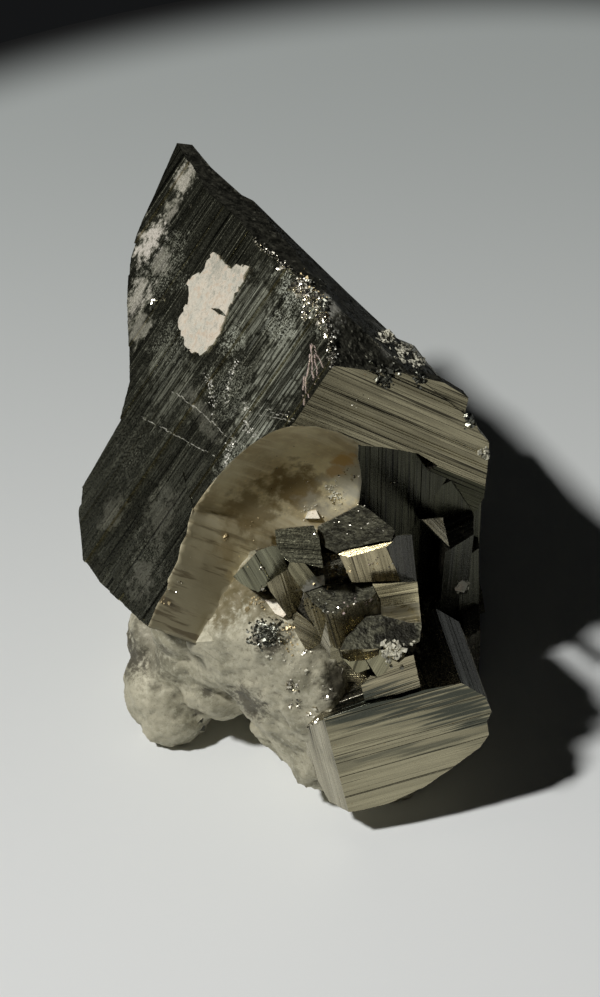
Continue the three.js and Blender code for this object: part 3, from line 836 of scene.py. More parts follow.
def wall_finish():
    """The tarnished wall of the hollow: brown, ochre and grey, with paler places and flutes towards its lip.
    Its colours are painted pale, as painted light for the shade it lies in, while painted shade darkens it
    towards its lip, where the key light falls, and in the lip's flutes.
    """
    # Painted light: these colours are paler than the tarnish, for the shade that the wall lies in.
    finish = Finish("pyrite_hollow_wall", (0.62, 0.52, 0.31))
    own, place = finish.attribute("own"), finish.place()
    slow = finish.noise(place, 0.2, 4.0, 0.6)
    flow = finish.noise(own, (0.10, 0.5, 1.1), 5.0, 0.6)
    fine = finish.noise(place, 2.2, 6.0, 0.7)
    ragged = finish.noise(place, 0.7, 4.0, 0.6).ranged(0.2, 0.8, -0.5, 0.5)
    low = finish.part(own, "Z").ranged(-17.5, -25.0)
    finish.lay(slow.ranged(0.38, 0.62), (0.86, 0.78, 0.52))
    finish.lay(flow.ranged(0.45, 0.65, 0.0, 0.6), (0.95, 0.88, 0.64))
    finish.lay(fine.ranged(0.55, 0.72, 0.0, 0.8), (0.95, 0.80, 0.46))
    # Painted shade: darker towards the lip, where the key light falls, and darker still in its flutes.
    finish.lay(low * 0.95, (0.33, 0.29, 0.18))
    finish.lay(flow.ranged(0.5, 0.4) * low * 0.8, (0.12, 0.09, 0.045))
    for places, colour in WALL_PLACES:
        finish.lay(finish.spots(own, places, ragged), colour)
    normal = finish.bump(fine, 0.03, 0.6, finish.bump(flow, 0.12, 0.6))
    return finish.done(fine.ranged(0.3, 0.8, 0.35, 0.2), flow.ranged(0.3, 0.7, 0.42, 0.6), normal)


# Dusty blotches on the roof, in the large crystal's axes.
ROOF_BLOTCHES = [
    ((6.8, 2.8, 3), (1.5, 1.5, 2), 0.3), ((1, 6.8, 3.4), (1.4, 3.4, 1.4), 0.6),
    ((13.4, 12.6, 1), (2.4, 3, 2), 0.5), ((16.2, 11, 0.6), (3, 2.4, 2), 0.7),
]
# Where the upward faces of the small crystals are painted nearly black: painted shade for the dark they
# mirror.
TOPS_PAINTED_SHADE = [((11.2, -26, 27.8), (3, 2.6, 2.4), 0.95), ((5.4, -23.4, 29.6), (2.2, 1.6, 1.6), 0.7)]


def grainy_finish(name, dark, light, dusty, blotches, painted_shade):
    """Fine-grained pyrite, with dull mineral dust between its grains and in blotches, and with painted shade.
    """
    finish = Finish(name, dark)
    own, place = finish.attribute("own"), finish.place()
    cubic = {"Vector": place, "Scale": 3.4}
    cubes = finish.node("ShaderNodeTexVoronoi", cubic, "Distance", distance="CHEBYCHEV")
    shade = finish.noise(place, 1.1, 5.0, 0.7)
    fine = finish.noise(place, 6.0, 4.0, 0.7)
    ragged = shade.ranged(0.2, 0.8, -0.7, 0.7)
    finish.lay(shade.ranged(0.35, 0.65), light)
    # Painted shade: spots painted nearly black.
    finish.lay(finish.spots(place, painted_shade, ragged), TOP_PAINTED_SHADE)
    dust = (fine.ranged(0.4, 0.62) * dusty).most(finish.spots(own, blotches, ragged))
    finish.lay(dust, DUST)
    return finish.done(dust.rest(), shade.ranged(0.3, 0.7, 0.5, 0.62), finish.bump(cubes + fine, 0.06, 0.8))


# Places on the rough mass that are darker: painted shade in its pits and grooves, under the large
# crystal's tip and where it arches over the floor, and the dark ground under the dark grains; middle
# and radii in mm, and how dark.
MASS_DARK_AND_SHADE = [
    ((-1.5, -22.8, 23.3), (2.2, 1.8, 1.6), 1), ((5.2, -24.8, 19), (2, 2.6, 2.8), 0.95),
    ((-3.6, -23.2, 14.6), (2.4, 3, 2.8), 0.85), ((-15.4, -10.5, 8.2), (3, 3.8, 2.8), 0.95),
    ((-8.1, -17.6, 9.9), (0.9, 1.6, 0.9), 0.8), ((-12.2, -16.2, 14.6), (1.5, 2, 0.9), 0.6),
    ((-15, -12.5, 11), (4, 5, 4.2), 0.5), ((-7.4, -15.6, 2), (4, 3, 2), 0.5),
    ((-13, -17.2, 8.6), (1.2, 1.6, 0.9), 0.35),
]
# Where it is tarnished brown beside the hollow.
MASS_BROWN = [
    ((-4.4, -17.2, 24.4), (4.4, 3.4, 3), 1), ((-2.6, -19.6, 24.6), (2.4, 2, 2), 0.7),
    ((-6.2, -18.6, 23.4), (3.2, 2.6, 2.2), 0.9),
]


def mass_finish(name):
    """Fine-grained pyrite under brownish dust, with painted shade in its dents."""
    finish = Finish(name, (0.275, 0.256, 0.175))
    place = finish.place()
    slow = finish.noise(place, 0.28, 4.0, 0.6)
    grain = finish.noise(place, 1.4, 6.0, 0.7)
    fine = finish.noise(place, 6.0, 4.0, 0.7)
    ragged = grain.ranged(0.2, 0.8, -0.6, 0.6)
    finish.lay(slow.ranged(0.36, 0.6), (0.495, 0.46, 0.334))
    finish.lay(grain.ranged(0.48, 0.66, 0.0, 0.7), (0.55, 0.52, 0.39))
    finish.lay(fine.ranged(0.56, 0.68, 0.0, 0.6), (0.16, 0.14, 0.10))
    # Painted shade: darker the deeper a corner lies in a dent.
    finish.lay(finish.attribute("dent", "Fac").ranged(0.02, 0.14, 0.0, 0.6), (0.10, 0.085, 0.055))
    finish.lay(finish.spots(place, MASS_BROWN, ragged), (0.17, 0.14, 0.07))
    # Mostly painted shade, and the dark grains' own dark ground.
    finish.lay(finish.spots(place, MASS_DARK_AND_SHADE, ragged), (0.085, 0.075, 0.05))
    normal = finish.bump(fine, 0.05, 0.6, finish.bump(grain, 0.1, 0.5))
    return finish.done(fine.ranged(0.35, 0.65, 0.1, 0.3), grain.ranged(0.3, 0.7, 0.65, 0.5), normal)


# Where the white mineral is greyer.
WORN = [((-6, 10.6, 43), (2.6, 3, 2.6), 0.9), ((-4.4, 8.4, 44), (1.6, 3, 2), 0.8)]


def chalk_finish(name, paler=1.0):
    """The white mineral, tan and grey in places."""
    # A paler above 1 brightens the colour as painted light.
    finish = Finish(name, (0.68 * paler, 0.61 * paler, 0.49 * paler))
    place = finish.place()
    slow = finish.noise(place, 0.7, 4.0, 0.6)
    fine = finish.noise(place, 5.0, 5.0, 0.7)
    tan = finish.noise(place, 1.3, 5.0, 0.7)
    finish.lay(slow.ranged(0.4, 0.65), (0.60 * paler, 0.57 * paler, 0.47 * paler))
    finish.lay(tan.ranged(0.52, 0.62, 0.0, 0.6), (0.60, 0.47, 0.34))
    finish.lay(tan.ranged(0.44, 0.36, 0.0, 0.55), (0.36, 0.35, 0.29))
    finish.lay(fine.ranged(0.58, 0.7, 0.0, 0.8), (0.30, 0.28, 0.22))
    worn = finish.spots(place, WORN, tan.ranged(0.3, 0.7, -0.5, 0.5))
    finish.lay(worn * fine.ranged(0.35, 0.6, 0.3), (0.36, 0.35, 0.28))
    return finish.done(0.0, 0.75, finish.bump(fine, 0.08, 0.9))


def chip_finish(name, colour, roughness, metallic):
    finish = Finish(name, [0.6 * c for c in colour])
    shade = finish.noise(finish.place(), 3.0)
    finish.lay(shade.ranged(0.35, 0.65), colour)
    return finish.done(metallic, shade.ranged(0.3, 0.7, roughness, roughness + 0.1))


# ---- Pieces -------------------------------------------------------------------------------------
def new_piece(name, corners, faces, materials, body="root"):
    mesh = bpy.data.meshes.new(name)
    mesh.from_pydata([tuple(c * MM) for c in corners], [], [list(map(int, f)) for f in faces])
    for m in materials:
        mesh.materials.append(m)
    piece = bpy.data.objects.new(name, mesh)
    bpy.context.scene.collection.objects.link(piece)
    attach(piece, body)
    return piece


def add_vectors(mesh, name, domain, vectors):
    mesh.attributes.new(name, "FLOAT_VECTOR", domain).data.foreach_set("vector", vectors.ravel())


def crystals(random):
    """The crystals' surface. Its attributes say how each corner is ruled, tinted and placed."""
    surface = crystal_surface(random)
    smooth_wall(surface)
    roughen_tops(surface, GRAINY, 0.09)
    roughen_tops(surface, DARK_TOP, 0.03)
    sink_mass(surface)
    finishes = [
        crystal_finish(),
        wall_finish(),
        grainy_finish("pyrite_roof", (0.04, 0.04, 0.03), (0.15, 0.145, 0.11), 0.05, ROOF_BLOTCHES, ()),
        mass_finish("pyrite_below"),
        grainy_finish("pyrite_tops", (0.04, 0.038, 0.027), (0.15, 0.145, 0.10), 0.06, (), TOPS_PAINTED_SHADE),
    ]
    piece = new_piece("crystals", surface.corners, surface.faces, finishes)
    mesh = piece.data
    mesh.polygons.foreach_set("material_index", surface.kinds.astype(np.int32))
    mesh.polygons.foreach_set("use_smooth", surface.kinds == WALL)
    group = np.repeat(surface.groups, [len(f) for f in surface.faces])
    points = surface.corners[np.concatenate(surface.faces)]
    # The last number sets each face's grain apart from its neighbours'.
    grain = [dots(points, surface.way[group]), dots(points, surface.across[group]), group * 7.31]
    add_vectors(mesh, "grain", "CORNER", np.stack(grain, axis=1))
    add_vectors(mesh, "tint", "CORNER", surface.tints[group])
    add_vectors(mesh, "own", "POINT", to_great(surface.corners))
    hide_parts(NODE)
    return piece


# ---- The rough mass -----------------------------------------------------------------------------
CRUST_VOXEL = 0.3
CRUST_SMOOTHING = 9
BALL_SHARE, BALL_MORE = 0.95, 0.2  # a ball's radius is this share of its lump's, and these mm on top
BALL_ROUGH, BALL_FINENESS = 0.12, 1.1
CRUST_RISE = 0.28  # mm, how far the crust lies out on average
CRUST_WAVE, CRUST_FINENESS = 0.4, 0.3
# Its grains: their height in mm, their size in mm and how they are turned.
CRUST_GRAINS = ((0.13, 0.9, (21, 34, 48)), (0.09, 0.45, (11, 52, 8)))
DENT_ROUNDS = 4  # how often the crust is softened to find its dents


def remeshed(parts):
    """One closed skin around several closed meshes: its corners, normals and faces."""
    mesh = bpy.data.meshes.new("rough")
    bm = bmesh.new()
    for part in parts:
        part_mesh = bpy.data.meshes.new("part")
        part.to_mesh(part_mesh)
        part.free()
        bm.from_mesh(part_mesh)
        bpy.data.meshes.remove(part_mesh)
    bm.to_mesh(mesh)
    bm.free()
    rough = bpy.data.objects.new("rough", mesh)
    bpy.context.scene.collection.objects.link(rough)
    modifier = rough.modifiers.new("skin", "REMESH")
    modifier.mode = "VOXEL"
    modifier.voxel_size = CRUST_VOXEL
    skin = rough.evaluated_get(bpy.context.evaluated_depsgraph_get()).to_mesh()
    corners = np.array([v.co for v in skin.vertices])
    normals = np.array([v.normal for v in skin.vertices])
    faces = [list(p.vertices) for p in skin.polygons]
    bpy.data.objects.remove(rough)
    bpy.data.meshes.remove(mesh)
    return corners, normals, faces


def averaged(values, pairs, count):
    """Each corner's mean over its neighbours."""
    total = np.zeros_like(values)
    np.add.at(total, pairs[:, 0], values[pairs[:, 1]])
    np.add.at(total, pairs[:, 1], values[pairs[:, 0]])
    return total / count


def crust():
    """The rough mass's lumpy skin. Its attribute says how deep in a dent each corner lies."""
    parts = []
    for at, radii in LUMPS:
        ball = bmesh.new()
        bmesh.ops.create_icosphere(ball, subdivisions=4, radius=1.0)
        for v in ball.verts:
            rough = 1 + BALL_ROUGH * noise.fractal(v.co * BALL_FINENESS + Vector(at), 1.0, 2.0, 3)
            for k in range(3):
                v.co[k] = v.co[k] * rough * (radii[k] * BALL_SHARE + BALL_MORE) + at[k] - ORIGIN[k]
        parts.append(ball)
    corners, normals, faces = remeshed([*parts, mass_hull()])
    pairs = np.unique([sorted((f[n - 1], f[n])) for f in faces for n in range(len(f))], axis=0)
    count = np.bincount(pairs.ravel(), minlength=len(corners))[:, None]
    for _ in range(CRUST_SMOOTHING):
        corners = corners + SOFTEN * (averaged(corners, pairs, count) - corners)
    big = np.array([noise.fractal(Vector(p) * CRUST_FINENESS, 1.0, 2.0, 3) for p in corners])
    lift = CRUST_RISE + CRUST_WAVE * big
    for height, size, turn in CRUST_GRAINS:
        lift = lift + height * grains(corners, size, turn)
    corners = corners + normals * lift[:, None]
    low = corners
    for _ in range(DENT_ROUNDS):
        low = averaged(low, pairs, count)
    dent = dots(low - corners, normals)
    corners[:, 2] = np.maximum(corners[:, 2], 0.0)
    piece = new_piece("crust", corners, faces, [mass_finish("pyrite_mass")])
    piece.data.polygons.foreach_set("use_smooth", np.ones(len(faces), bool))
    piece.data.attributes.new("dent", "FLOAT", "POINT").data.foreach_set("value", dent)
    return piece


# ---- The white film -----------------------------------------------------------------------------
FILM_OUTLINE = [
    (26.8, -3.2), (22.8, -2.7), (20.1, -0.6), (19.4, -4.3), (17.6, -9), (18.3, -10.7), (20.4, -11.8),
    (23.4, -11.4), (25.2, -10.9), (25.5, -8.4), (27.7, -7.3), (26.4, -5.4),
]
FILM_SLIT = [(21.4, -6.9), (20.2, -6.2), (18.6, -6.1), (19.8, -6.7)]
FILM_THICKNESS = 0.12
FILM_LEAST = 0.03
FILM_ROOT = 0.4  # mm, how deep it goes into the crystal
FILM_SPACING = 0.3
FILM_JITTER = 0.5  # of the spacing
FILM_MARGIN = 0.1  # mm, how far the inner points keep from its outline
FILM_RISE, FILM_GRAIN = 0.12, 0.7  # mm, the height and the size of its grains
FILM_ROUGH = 0.05


def ragged(outline, step, rough, random):
    """A closed outline with points about step apart, pushed about by rough."""
    points = []
    for p, q in zip(np.array(outline), np.roll(outline, -1, axis=0)):
        count = max(int(math.dist(p, q) / step), 1)
        points += [p + (q - p) * n / count for n in range(count)]
    points = np.array(points)
    return points + (random.random(points.shape) - 0.5) * rough


def inside(points, outline):
    """Which points lie inside a closed outline."""
    result = np.zeros(len(points), bool)
    for p, q in zip(outline, np.roll(outline, -1, axis=0)):
        crosses = (p[1] > points[:, 1]) != (q[1] > points[:, 1])
        with np.errstate(divide="ignore", invalid="ignore"):
            at = p[0] + (points[:, 1] - p[1]) / (q[1] - p[1]) * (q[0] - p[0])
        result ^= crosses & (points[:, 0] < at)
    return result


def white_film(random):
    """A thin crust of white mineral on the left face of the large crystal, with a slit worn through it."""
    outline = ragged(FILM_OUTLINE, 0.35, 0.5, random)
    slit = ragged(FILM_SLIT, 0.3, 0.12, random)
    low, high = outline.min(axis=0), outline.max(axis=0)
    y, z = np.meshgrid(np.arange(low[0], high[0], FILM_SPACING), np.arange(low[1], high[1], FILM_SPACING))
    grid = np.stack([y.ravel(), z.ravel()], axis=1)
    grid += (random.random(grid.shape) - 0.5) * FILM_SPACING * FILM_JITTER
    near = np.abs(grid[:, None, :] - np.concatenate([outline, slit])[None, :, :]).max(axis=2).min(axis=1)
    grid = grid[inside(grid, outline) & ~inside(grid, slit) & (near > FILM_MARGIN)]
    every = [Vector(p) for p in (*outline, *slit, *grid)]
    links = [(len(outline) + n, len(outline) + (n + 1) % len(slit)) for n in range(len(slit))]
    made = geometry.delaunay_2d_cdt(every, links, [list(range(len(outline)))], 1, 1e-6)
    flat = np.array(made[0])
    count = len(flat)
    thick = FILM_THICKNESS + FILM_RISE * grains(np.c_[flat, np.zeros(count)] + 0.01, FILM_GRAIN)
    thick += FILM_ROUGH * random.random(count)
    top = np.c_[-np.maximum(thick, FILM_LEAST), flat]
    root = np.c_[np.full(count, FILM_ROOT), flat]
    once = {}
    faces = []
    for t in made[2]:
        a, b, c = flat[list(t)]
        if inside((a + b + c)[None, :] / 3, slit)[0]:
            continue
        if (b[0] - a[0]) * (c[1] - a[1]) - (b[1] - a[1]) * (c[0] - a[0]) > 0:
            t = t[::-1]
        faces += [list(t), [v + count for v in t[::-1]]]
        for edge in ((t[0], t[1]), (t[1], t[2]), (t[2], t[0])):
            once[edge] = edge[::-1] not in once
            if not once[edge]:
                once[edge[::-1]] = False
    faces += [[q, p, p + count, q + count] for (p, q), rim in once.items() if rim]
    corners = from_great(np.concatenate([top, root]))
    new_piece("white_film", corners, faces, [chalk_finish("white_mineral")])


# ---- Chips and fine lines -----------------------------------------------------------------------
CUBE = np.array([(x, y, z) for x in (-1, 1) for y in (-1, 1) for z in (-1, 1)]) / 2
CUBE_FACES = [(0, 1, 3, 2), (4, 6, 7, 5), (0, 4, 5, 1), (2, 3, 7, 6), (0, 2, 6, 4), (1, 5, 7, 3)]
WEDGE_FACES = [(0, 1, 2), (3, 5, 4), (0, 3, 4, 1), (1, 4, 5, 2), (2, 5, 3, 0)]
CHIP_SKEW = 0.45  # how far a block's corners are pushed about, as a share of its size
HEAP_LEVEL = 0.8  # how much less a heap spreads in height
TRAIL_VARY, TRAIL_TURN = 0.4, 0.1  # how much the chips of a trail vary in size and in their turn
SPECK_VARY, SPECK_TURN = 0.3, 0.12
REACH_OUT, REACH_IN = 1.5, 2.4  # mm, how far beside the left face a chip's place is sought
WEDGE_LENGTH = 0.45
WEDGE_ROOT = 0.12
GLINT = unit(np.array([-0.27, -0.47, 0.84]))  # how a face is turned that catches the key light
LEFT_OUT = -GREAT[:, 0]
MIDDLE = np.array([1.4, -9.9, 30.0])
UPWARD = np.array([0.0, 0.7071, 0.7071])
EYE_AWAY = 247.5  # mm, how far in front of the middle the viewer is, and how far above it
EYE = MIDDLE + EYE_AWAY * np.array([0, -1, 1])
# A chip's piece: its material, colour, roughness and how metallic it is.
CHIP_LOOKS = {
    "bright_chips": ("pyrite_bright", (0.85, 0.80, 0.66), 0.2, 1.0),
    "growth_lines": ("pyrite_lines", (0.80, 0.78, 0.68), 0.4, 0.35),
    "pink_lines": ("pyrite_pink", (1.0, 0.80, 0.74), 0.35, 0.3),
    "gold_chips": ("pyrite_gold", (0.62, 0.50, 0.28), 0.4, 0.5),
    "dark_grains": ("pyrite_grains", (0.22, 0.22, 0.18), 0.3, 1.0),
    "pale_rubble": ("pale_rubble", (0.66, 0.63, 0.49), 0.6, 0.0),
}


def on_left(*way):
    """Points on the large crystal's left face, from their places along y and z."""
    return [from_great(np.array([0.0, y, z])) for y, z in way]


def sight(right, up):
    """The way from the viewer to a place given in mm right of and above the middle."""
    return unit(MIDDLE + np.array([right, 0, 0]) + up * UPWARD - EYE)


class Front:
    """The front of the specimen as it is seen from the viewer's side."""

    def __init__(self, pieces):
        corners, faces = [], []
        for piece in pieces:
            start = len(corners)
            corners += [v.co / MM for v in piece.data.vertices]
            faces += [[v + start for v in p.vertices] for p in piece.data.polygons]
        self.tree = BVHTree.FromPolygons(corners, faces)

    def settled(self, point):
        """The point on the large crystal's left face nearest to a point beside it, or none."""
        start = Vector(point + LEFT_OUT * REACH_OUT)
        hit, _, _, _ = self.tree.ray_cast(start, Vector(-LEFT_OUT), REACH_IN)
        return None if hit is None else np.array(hit)

    def at(self, right, up):
        """The surface's point and normal at a place given in mm right of and above the middle."""
        hit, normal, _, _ = self.tree.ray_cast(Vector(EYE), Vector(sight(right, up)))
        return (None, None) if hit is None else (np.array(hit), np.array(normal))


class Chips:
    """Many small closed blocks in one mesh."""

    def __init__(self, front, random):
        self.front, self.random = front, random
        self.corners, self.faces = [], []

    def add(self, corners, faces):
        start = len(self.corners)
        self.corners += list(corners)
        self.faces += [[v + start for v in face] for face in faces]

    def varied(self, size, spread):
        return size * float(np.exp(spread * self.random.normal()))

    def glint(self, share, spread):
        """How far from glinting a chip is turned, for a share of the chips, and none for the rest."""
        return spread if self.random.random() < share else None

    def turn(self, glint):
        """Any turn, or one whose top catches the key light, give or take glint."""
        if glint is not None:
            up = unit(GLINT + glint * self.random.normal(size=3))
            side = unit(np.cross(up, self.random.normal(size=3)))
            return np.stack([side, np.cross(up, side), up], axis=1)
        w, x, y, z = unit(self.random.normal(size=4))
        return np.array([
            [1 - 2 * (y * y + z * z), 2 * (x * y - z * w), 2 * (x * z + y * w)],
            [2 * (x * y + z * w), 1 - 2 * (x * x + z * z), 2 * (y * z - x * w)],
            [2 * (x * z - y * w), 2 * (y * z + x * w), 1 - 2 * (x * x + y * y)],
        ])

    def block(self, at, size, glint):
        turn = self.turn(glint)
        shape = CUBE * size * (0.7 + 0.6 * self.random.random(3))
        shape = shape + (self.random.random(shape.shape) - 0.5) * size * CHIP_SKEW
        self.add(shape @ turn.T + at, CUBE_FACES)

    def along(self, way, count, size, scatter, glinting, settle=True):
        """Blocks strewn along a line of points, and settled on the left face if that is asked for."""
        way = np.array(way)
        length = np.linalg.norm(np.diff(way, axis=0), axis=1)
        reach = np.concatenate([[0], np.cumsum(length)])
        for _ in range(count):
            s = self.random.random() * reach[-1]
            at = np.array([np.interp(s, reach, way[:, k]) for k in range(3)])
            at = at + scatter * self.random.normal(size=3)
            own = self.varied(size, TRAIL_VARY)
            glint = self.glint(glinting, TRAIL_TURN)
            at = self.front.settled(at) if settle else at
            if at is not None:
                self.block(at, own, glint)

    def heaps(self, places, size, vary, share, spread):
        """Blocks heaped around places on the left face."""
        for y, z, reach, count in places:
            for _ in range(count):
                y_at = y + reach * self.random.normal()
                z_at = z + reach * self.random.normal() * HEAP_LEVEL
                at = self.front.settled(*on_left((y_at, z_at)))
                if at is not None:
                    self.block(at, self.varied(size, vary), self.glint(share, spread))

    def strew(self, specks, glinting):
        """Blocks scattered over the surface around places on the front."""
        for right, up, spread, count, size in specks:
            for _ in range(count):
                off_right, off_up = spread * self.random.normal(), spread * self.random.normal()
                at, _ = self.front.at(right + off_right, up + off_up)
                if at is not None:
                    self.block(at, self.varied(size, SPECK_VARY), self.glint(glinting, SPECK_TURN))

    def ridges(self, way, width, rise, keep):
        """A line of short low wedges on the left face, standing out of it by rise."""
        way = on_left(*way)
        for p, q in zip(way[:-1], way[1:]):
            count = max(int(np.linalg.norm(q - p) / WEDGE_LENGTH), 1)
            for n in range(count):
                if self.random.random() > keep:
                    continue
                a = self.front.settled(p + (q - p) * n / count)
                b = self.front.settled(p + (q - p) * (n + 0.8 + 0.3 * self.random.random()) / count)
                if a is None or b is None:
                    continue
                side = unit(np.cross(LEFT_OUT, q - p)) * width * (0.4 + 0.9 * self.random.random()) / 2
                jitter = side * self.random.normal() * 0.6
                top = LEFT_OUT * rise * (0.6 + 0.8 * self.random.random())
                low = -LEFT_OUT * WEDGE_ROOT
                ends = (a + jitter, b + jitter)
                self.add([end + by for end in ends for by in (low - side, side + low, top)], WEDGE_FACES)

    def piece(self, name):
        new_piece(name, self.corners, self.faces, [chip_finish(*CHIP_LOOKS[name])])


# The crest of the ridge above the left face, in the large crystal's axes.
RIDGE = [
    (0.1, 22, 1.3), (0.2, 16.3, 2.1), (0.3, 11.9, 2.7), (0.3, 6.9, 2.6), (0.1, 3.2, 1.5), (0, -0.2, 0.1),
]
# Heaps of bright chips on the ridge, and of larger lumps among them: place along y and z, spread and count.
RIDGE_CLUSTERS = [
    (15.6, 2.2, 0.3, 30), (11.7, 2, 0.55, 90), (9.9, 2, 0.5, 50), (7.9, 2.6, 0.45, 50),
    (8.3, 1.1, 0.5, 60), (5.6, 2, 0.6, 50),
]
RIDGE_LUMPS = [
    (12, 2, 0.4, 9), (10.4, 1.9, 0.45, 8), (8.6, 2, 0.5, 10), (5.4, 2.1, 0.4, 5), (15.4, 2.1, 0.2, 4),
]
# On the left face, along y and z: three sparks, fine pale lines, trails of specks, pinkish lines and an edge.
SPARKS = [(34.8, -2.3), (30.8, -12.2), (29.5, -11.0)]
GROWTH_LINES = [
    [(21.9, -20.8), (13.5, -18.1), (7, -16)], [(19.2, -15.9), (14.3, -14.8), (7.7, -13.7), (2.1, -12)],
    [(5.9, -9.1), (0.3, -6.5)], [(5.4, -9.5), (0.6, -7.1)],
]
SPECKLE_TRAILS = [
    [(15.9, -11.7), (13.6, -12.5), (11.5, -13.2)], [(13.3, -8.1), (12.2, -10.5), (10.6, -11.6)],
    [(8.4, -9.6), (5.9, -11.3), (2.8, -11)], [(6.2, -13.6), (4.9, -15.6)],
]
PINK_FAN = [
    [(4.4, -0.4), (1.7, -3.5), (0.3, -4.1)], [(4.6, -0.5), (0.3, -2.9)], [(3.2, -0.8), (0.3, -2.2)],
    [(4.6, -0.3), (0.8, -0.9)], [(2.6, -3), (0.3, -4.9)],
]
BRIGHT_EDGE = [(4.5, 2.2), (2.6, 1.4), (1, 0.6), (-0.2, -0.4)]
# Specks as seen from in front: mm right of and above the middle, spread, count and size.
WHITE_SPECKS = [
    (2, -8.05, 0.22, 7, 0.34), (-0.8, -18.75, 0.3, 8, 0.32), (-0.8, -18.1, 0.1, 2, 0.2),
    (0, -20.5, 0.16, 4, 0.26), (-1, -20.4, 0.2, 3, 0.22), (1, -21.4, 0.2, 5, 0.3),
    (1.6, -22.2, 0.16, 4, 0.26), (0.9, -22.6, 0.2, 3, 0.2), (3.1, -19.1, 0.14, 3, 0.16),
    (2.6, -19.8, 0.16, 4, 0.18), (3, -11.5, 0.12, 4, 0.14), (3.9, -10.9, 0.1, 3, 0.12),
    (5.3, -10.3, 0.12, 3, 0.14), (6, -0.8, 0.16, 4, 0.16), (-3.7, -9.1, 0.16, 6, 0.2),
    (-3.8, -7.1, 0.2, 4, 0.16), (4.5, -7.8, 0.18, 5, 0.2), (0.7, -15.4, 0.25, 6, 0.18),
    (3.4, 0.4, 0.5, 7, 0.14), (5.2, 2.6, 0.6, 12, 0.14), (10, 1.6, 0.5, 6, 0.14),
    (1.6, -3.6, 0.35, 6, 0.1), (-1.4, 8.4, 0.3, 3, 0.1), (2.9, -10.2, 1.2, 10, 0.08),
    (7.4, -2.6, 1.4, 16, 0.07), (8.6, -6.6, 0.8, 8, 0.07), (-0.6, 2.6, 1.4, 30, 0.06),
    (3.6, -2.6, 1.2, 14, 0.06), (-12.4, -7.6, 1, 16, 0.07), (5.8, 9.4, 0.4, 10, 0.07),
    (8.4, 12, 0.6, 12, 0.08),
]
GOLD_SPECKS = [
    (2.4, -8.5, 0.3, 8, 0.2), (3.3, -7, 0.3, 10, 0.22), (4.4, -7.4, 0.25, 8, 0.2),
    (3.4, -5.8, 0.25, 7, 0.16), (-7.4, -3.8, 0.2, 6, 0.14), (-4.4, -10.5, 0.45, 14, 0.18),
    (-1.2, -12.9, 0.35, 12, 0.18), (-13.6, -10.4, 0.2, 5, 0.16), (-1, -14.4, 0.5, 14, 0.14),
    (7.6, -6.2, 0.3, 5, 0.1), (-5.6, -6, 0.6, 6, 0.08), (-4, -2.6, 0.8, 8, 0.07),
    (0.3, 22.4, 0.3, 7, 0.12), (1.1, 21.1, 0.36, 12, 0.13), (1.9, 19.9, 0.36, 12, 0.13),
    (2.5, 18.4, 0.3, 7, 0.12),
]
PALE_SPECKS = [
    (8.7, 16.1, 0.35, 50, 0.24), (10.2, 14.8, 0.4, 70, 0.28), (11.7, 13.7, 0.4, 50, 0.26),
    (9.2, -15.4, 0.5, 90, 0.24), (11.3, -14.9, 0.3, 16, 0.2), (0.6, -17.6, 1, 16, 0.12),
    (-1.8, -15.4, 0.9, 14, 0.12), (18.4, 4.6, 0.3, 40, 0.22), (3.5, 0.5, 0.5, 44, 0.12),
    (1.2, -1.3, 0.6, 30, 0.12), (16.2, -8.7, 0.3, 30, 0.22),
]
PINK_SPECKS = [(6.6, -10.4, 0.35, 7, 0.1), (5, -10.7, 0.4, 6, 0.1), (7.6, -6.3, 0.35, 6, 0.08)]
DARK_GRAINS = [
    (-3.5, -13.5, 0.66, 340, 0.17), (17.2, 7.8, 0.35, 50, 0.24), (8.6, 12.4, 0.55, 110, 0.2),
    (12, 12, 0.4, 40, 0.2), (1.9, -10.6, 0.7, 40, 0.12), (1.2, 21.2, 0.45, 70, 0.18),
    (2.2, 19.4, 0.45, 70, 0.18),
]
# Flat pale crystals as seen from in front: how far each stands out in mm, and its outline.
PALE_CRYSTALS = [
    (0.9, [(-3.5, -10.15), (-2.5, -10.05), (-1.4, -11.6), (-1.7, -11.9), (-2.5, -11.5)]),
    (0.35, [(0.5, -2), (0.8, -1.3), (1.6, -1.15), (2, -2)]),
    (0.35, [(15.4, -8.3), (16, -7.9), (16.8, -8.6), (16.4, -9.4), (15.5, -9.2)]),
    (0.35, [(10.8, -14.8), (11.6, -14.7), (11.2, -15.6), (10.7, -15.4)]),
    (1.6, [(1.6, -7.8), (2.4, -7.6), (2.5, -8.7), (2.1, -8.6)]),
]
CRYSTAL_ROOT = 0.3  # mm, how deep they go into the surface
CRYSTAL_TURN = 0.5  # how far they are turned from the surface towards the light


def plates(front):
    """Flat pale crystals set into the front, their colour brightened past white as painted light for the
    shade they lie in.
    """
    corners, faces = [], []
    for rise, outline in PALE_CRYSTALS:
        at, normal = front.at(*np.mean(outline, axis=0))
        normal = unit(normal + CRYSTAL_TURN * (GLINT - normal))
        start = len(corners)
        count = len(outline)
        for depth in (rise, -CRYSTAL_ROOT):
            for right, up in outline:
                way = sight(right, up)
                corners.append(EYE + way * ((at + normal * depth - EYE) @ normal / (way @ normal)))
        front_face = [start + n for n in range(count)]
        a, b, c = (corners[v] for v in front_face[:3])
        if np.cross(b - a, c - a) @ normal < 0:
            front_face = front_face[::-1]
        faces += [front_face, [v + count for v in front_face[::-1]]]
        for n in range(count):
            p, q = front_face[n], front_face[(n + 1) % count]
            faces.append([q, p, p + count, q + count])
    # Painted light: paler than white, for the shade these crystals lie in.
    new_piece("pale_crystals", corners, faces, [chalk_finish("pale_crystal", 1.55)])


